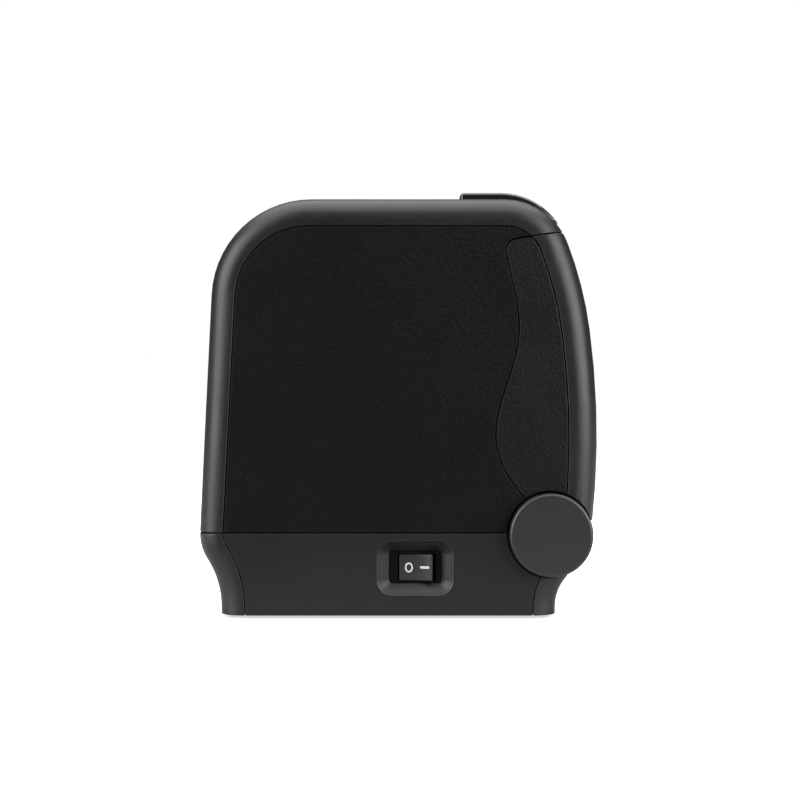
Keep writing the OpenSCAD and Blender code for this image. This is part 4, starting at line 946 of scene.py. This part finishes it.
def power_contacts():
    """The centre pin and the sprung sleeve of the round power socket."""
    low, high = box_mm("power_socket")
    axis = ((low.x + high.x) / 2, low.z + 6.5)
    y = high.y
    pin = Shape().lathe([(y - 7.9, 1.0), (y - 1.6, 1.0), (y - 1.1, 0.85), (y - 0.8, 0.4)], axis, 1, 32)
    finish(pin.piece("power_pin"), "body", "steel_bright")
    ring = [(y - 7.0, 4.9), (y - 0.6, 4.9), (y - 0.3, 4.6), (y - 0.3, 4.3), (y - 7.0, 4.3)]
    sleeve = Shape().lathe(ring, axis, axis=1, closed=True)
    finish(sleeve.piece("power_sleeve"), "body", "steel_bright")


def data_contacts():
    """The tongue of the square data socket, with two contacts above and two below."""
    low, high = box_mm("usb_socket")
    x, y, z = (low.x + high.x) / 2, high.y, low.z + 5.2
    tongue = Shape().block((x - 2.8, y - 4.7, z - 1.5), (x + 2.8, y - 0.6, z + 1.5))
    tongue = tongue.piece("data_tongue")
    round_edges(tongue, 0.0003)
    finish(tongue, "body", "gear_plastic")
    blades = Shape()
    for side in (1, -1):
        lower, upper = sorted((z + side * 1.5, z + side * 1.62))
        for at in (x - 1.25, x + 1.25):
            blades.block((at - 0.4, y - 4.6, lower), (at + 0.4, y - 0.9, upper))
    finish(blades.piece("data_contacts"), "body", "brass")


def plate_screws():
    """Two cross-slotted screws in the rear plate."""
    low, high = box_mm("socket_plate")
    y, z, r = high.y, (low.z + high.z) / 2, 1.9
    dome = [(y, r), (y + 0.5, r), (y + 0.95, 0.82 * r), (y + 1.15, 0.5 * r)]
    heads, slots = Shape(), Shape()
    for x in (low.x + 3.2, high.x - 3.2):
        heads.lathe(dome, (x, z), axis=1, steps=40)
        for across, up in ((1.2, 0.25), (0.25, 1.2)):
            slots.block((x - across, y + 0.55, z - up), (x + across, y + 2, z + up))
    finish(cut(heads.piece("plate_screws", 30), slots.piece("slots")), "body", "steel_bright")


power_contacts()
contact_comb("drawer_contacts", "drawer_socket", 6, 0.45, 2.5, 5.6, -10.5)
contact_comb("network_contacts", "network_socket", 8, 0.4, 2.7, 6.0, -11.5)
data_contacts()
plate_screws()


# Small parts on the main board

BOARD_THICKNESS = 1.6
# (x0, x1, y0, y1, height) of each chip with its leads
CHIPS = ((-11.6, 9.6, -19.6, 1.6, 1.75), (14.4, 31.6, -7.6, 9.6, 1.55))
LEAD_REACH = 1
LEADLESS_ENDS = 3
LEAD_PITCH = 1.0
LEAD_HALF = 0.2
LEAD_HALF_THICK = 0.08
# (x, y, radius) of each capacitor
CAPACITORS = ((-36, 12, 5.1), (-24, 8, 4.1), (34, 10, 4.1))
CAPACITOR_HEIGHT = 9.1
# (label, kind, value) of what a field of small parts can be told
FIELD_INPUTS = (
    ("Row Length", "Float", 0.05),
    ("Row Depth", "Float", 0.02),
    ("Along", "Int", 12),
    ("Across", "Int", 6),
    ("Thinning", "Float", 0.45),
    ("Seed", "Int", 7),
)
# (size, place along the part, material) of a small part's body and its two soldered ends
PART_BLOCKS = (
    ((0.0010, 0.00075, 0.0004), 0.0, "Body Material"),
    ((0.0003, 0.0008, 0.00042), 0.00062, "End Material"),
    ((0.0003, 0.0008, 0.00042), -0.00062, "End Material"),
)
FIELD_LEFT = {"Row Length": 0.026, "Row Depth": 0.014, "Along": 9, "Across": 6}
FIELD_RIGHT = {"Row Length": 0.024, "Row Depth": 0.016, "Along": 8, "Across": 6, "Seed": 3}


def part_field_tree():
    """Rows of small surface-mount parts, thinned out and turned at random."""
    tree = bpy.data.node_groups.new("small_parts", "GeometryNodeTree")
    face = tree.interface
    face.new_socket("Geometry", in_out="INPUT", socket_type="NodeSocketGeometry")
    for label, kind, value in FIELD_INPUTS:
        socket = face.new_socket(label, in_out="INPUT", socket_type="NodeSocket" + kind)
        socket.default_value = value
    for label in ("Body Material", "End Material"):
        face.new_socket(label, in_out="INPUT", socket_type="NodeSocketMaterial")
    face.new_socket("Geometry", in_out="OUTPUT", socket_type="NodeSocketGeometry")
    new, link = tree.nodes.new, tree.links.new
    given = new("NodeGroupInput").outputs
    grid = new("GeometryNodeMeshGrid")
    link(given["Row Length"], grid.inputs["Size X"])
    link(given["Row Depth"], grid.inputs["Size Y"])
    link(given["Along"], grid.inputs["Vertices X"])
    link(given["Across"], grid.inputs["Vertices Y"])
    points = new("GeometryNodeMeshToPoints")
    link(grid.outputs["Mesh"], points.inputs["Mesh"])
    chance = new("FunctionNodeRandomValue")
    chance.data_type = "BOOLEAN"
    link(given["Thinning"], chance.inputs["Probability"])
    link(given["Seed"], chance.inputs["Seed"])
    thin = new("GeometryNodeDeleteGeometry")
    thin.domain = "POINT"
    link(points.outputs[0], thin.inputs["Geometry"])
    link(chance.outputs["Value"], thin.inputs["Selection"])
    whole = new("GeometryNodeJoinGeometry")
    for size, x, material in PART_BLOCKS:
        block = new("GeometryNodeMeshCube")
        block.inputs["Size"].default_value = size
        shift = new("GeometryNodeTransform")
        shift.inputs["Translation"].default_value = (x, 0, size[2] / 2)
        paint = new("GeometryNodeSetMaterial")
        link(block.outputs["Mesh"], shift.inputs["Geometry"])
        link(shift.outputs[0], paint.inputs["Geometry"])
        link(given[material], paint.inputs["Material"])
        link(paint.outputs[0], whole.inputs[0])
    quarter = new("FunctionNodeRandomValue")
    quarter.data_type = "INT"
    quarter.inputs["Min"].default_value = 0
    quarter.inputs["Max"].default_value = 1
    link(given["Seed"], quarter.inputs["Seed"])
    turn = new("ShaderNodeMath")
    turn.operation = "MULTIPLY"
    turn.inputs[1].default_value = math.pi / 2
    link(quarter.outputs["Value"], turn.inputs[0])
    spin = new("ShaderNodeCombineXYZ")
    link(turn.outputs[0], spin.inputs["Z"])
    place = new("GeometryNodeInstanceOnPoints")
    link(thin.outputs[0], place.inputs["Points"])
    link(whole.outputs[0], place.inputs["Instance"])
    link(spin.outputs[0], place.inputs["Rotation"])
    real = new("GeometryNodeRealizeInstances")
    link(place.outputs[0], real.inputs[0])
    link(real.outputs[0], new("NodeGroupOutput").inputs[0])
    return tree


def part_field(name, tree, centre, settings):
    """Run the small-parts tree and keep its result as a plain mesh on the board."""
    piece = add_object(name, bpy.data.meshes.new(name))
    run = piece.modifiers.new("parts", "NODES")
    run.node_group = tree
    inputs = [item for item in tree.interface.items_tree if item.in_out == "INPUT"]
    keys = {item.name: item.identifier for item in inputs}
    run[keys["Body Material"]] = MATERIALS["socket_black"]
    run[keys["End Material"]] = MATERIALS["steel_bright"]
    for label, value in settings.items():
        run[keys[label]] = value
    settle(piece)
    piece.data.transform(Matrix.Translation([c * MM for c in centre]))
    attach(piece, "body")


def capacitor(cans, sleeves, x, y, z, r):
    """A can capacitor: a sleeve with a groove at its foot and a rolled top rim, and a bare lid."""
    top = z + CAPACITOR_HEIGHT
    sleeve = [(z, r - 0.3), (z, r - 0.1), (z + 0.6, r - 0.1), (z + 0.9, r - 0.35), (z + 1.2, r)]
    sleeve += [(top - 0.35, r), (top, r - 0.35), (top, r - 0.8), (top - 0.2, r - 0.9)]
    sleeves.lathe(sleeve, (x, y), axis=2, steps=40)
    lid = [(top - 0.3, r - 0.85), (top - 0.1, r - 0.9), (top - 0.05, 0.2)]
    cans.lathe(lid, (x, y), axis=2, steps=40)


def lead_row(leads, along, low, high, foot, out, z, height):
    """Bent leads along one side of a chip; along is 0 for a row in X and 1 for a row in Y."""
    count = int((high - low - LEADLESS_ENDS) / LEAD_PITCH)
    run = [(foot - out * 1.05, z + height / 2), (foot - out * 0.6, z + height / 2)]
    run += [(foot - out * 0.45, z + 0.1), (foot, z + 0.1)]
    rim = ((-1, -1), (1, -1), (1, 1), (-1, 1))
    for i in range(count + 1):
        at = (low + high) / 2 + (i - count / 2) * LEAD_PITCH
        loops = []
        for where, up in run:
            ring = [(at + LEAD_HALF * a, where, up + LEAD_HALF_THICK * b) for a, b in rim]
            loops.append(ring if along == 0 else [(b, a, c) for a, b, c in ring])
        leads.stack(loops)


def chip(bodies, leads, x0, x1, y0, y1, z, height):
    """A square chip with bent leads along its four sides."""
    low_corner = (x0 + LEAD_REACH, y0 + LEAD_REACH, z + 0.1)
    bodies.block(low_corner, (x1 - LEAD_REACH, y1 - LEAD_REACH, z + height))
    for foot, out in ((y0, -1), (y1, 1)):
        lead_row(leads, 0, x0, x1, foot, out, z, height)
    for foot, out in ((x0, -1), (x1, 1)):
        lead_row(leads, 1, y0, y1, foot, out, z, height)


def board_parts():
    top = box_mm("main_board")[0].z + BOARD_THICKNESS
    bodies, leads, cans, sleeves = Shape(), Shape(), Shape(), Shape()
    for x0, x1, y0, y1, height in CHIPS:
        chip(bodies, leads, x0, x1, y0, y1, top, height)
    for x, y, radius in CAPACITORS:
        capacitor(cans, sleeves, x, y, top, radius)
    chips = bodies.piece("board_chips")
    round_edges(chips, 0.0002)
    finish(chips, "body", "socket_black")
    finish(leads.piece("chip_leads"), "body", "steel_bright")
    finish(sleeves.piece("capacitor_sleeves"), "body", "gloss_black")
    finish(cans.piece("capacitor_lids"), "body", "aluminium")
    tree = part_field_tree()
    part_field("board_small_parts_left", tree, (-27, -10, top), FIELD_LEFT)
    part_field("board_small_parts_right", tree, (26, 24, top), FIELD_RIGHT)


board_parts()


# Marks on the rocker

ROCKER_TILT = math.radians(12)
# The rocker's face: half its length, how far its ends lie out from the pivot, and its hollow.
ROCKER_HALF = 6.1
ROCKER_REACH = 2.2
ROCKER_DIP = 0.7
# A printed mark's underside and top over the face.
PAD_BACK = -0.02
PAD_FACE = 0.05
MARK_POINTS = 40


def on_rocker(along, up, lift):
    """A point over the rocker's hollow face: towards the rear, up and off the face (all mm)."""
    pivot = [c / MM for c in joint("rocker_tilt")["pos_m"]]
    depth = ROCKER_DIP * (1 - (along / ROCKER_HALF) ** 2) - ROCKER_REACH - lift
    cosine, sine = math.cos(ROCKER_TILT), math.sin(ROCKER_TILT)
    x = pivot[0] + cosine * depth + sine * along
    y = pivot[1] - sine * depth + cosine * along
    return x, y, pivot[2] + up


def printed_pad(name, inner, outer):
    """A mark printed on the rocker: a thin pad between two rims of (along, up) points."""
    rims = ((inner, PAD_BACK), (inner, PAD_FACE), (outer, PAD_FACE), (outer, PAD_BACK))
    loops = [[on_rocker(along, up, lift) for along, up in rim] for rim, lift in rims]
    pad = Shape().stack(loops, closed=True).piece(name, 50)
    finish(pad, "rocker", "lens", material="mark_white")


def oval(at, width, height, power=1.0):
    """Points of an oval or, at a lower power, of a bar with round ends."""
    points = []
    for i in range(MARK_POINTS):
        turn = 2 * math.pi * i / MARK_POINTS
        x, y = math.cos(turn), math.sin(turn)
        wide = math.copysign(abs(x) ** power, x) * width / 2
        tall = math.copysign(abs(y) ** power, y) * height / 2
        points.append((at[0] + wide, at[1] + tall))
    return points


OFF_PLACE = (2.5, 0.0)
ON_PLACE = (-3.2, 0.1)
printed_pad("mark_off", oval(OFF_PLACE, 1.8, 2.4), oval(OFF_PLACE, 2.8, 3.5))
printed_pad("mark_on", oval(ON_PLACE, 3.0, 0.05, power=0.4), oval(ON_PLACE, 3.3, 0.85, power=0.4))


# The nodes that keep their CAD shape

for node, piece in frame["nodes"].items():
    if not piece.hide_render:
        piece.data.materials.clear()
        piece.data.materials.append(MATERIALS[SLOT_OF[node]])
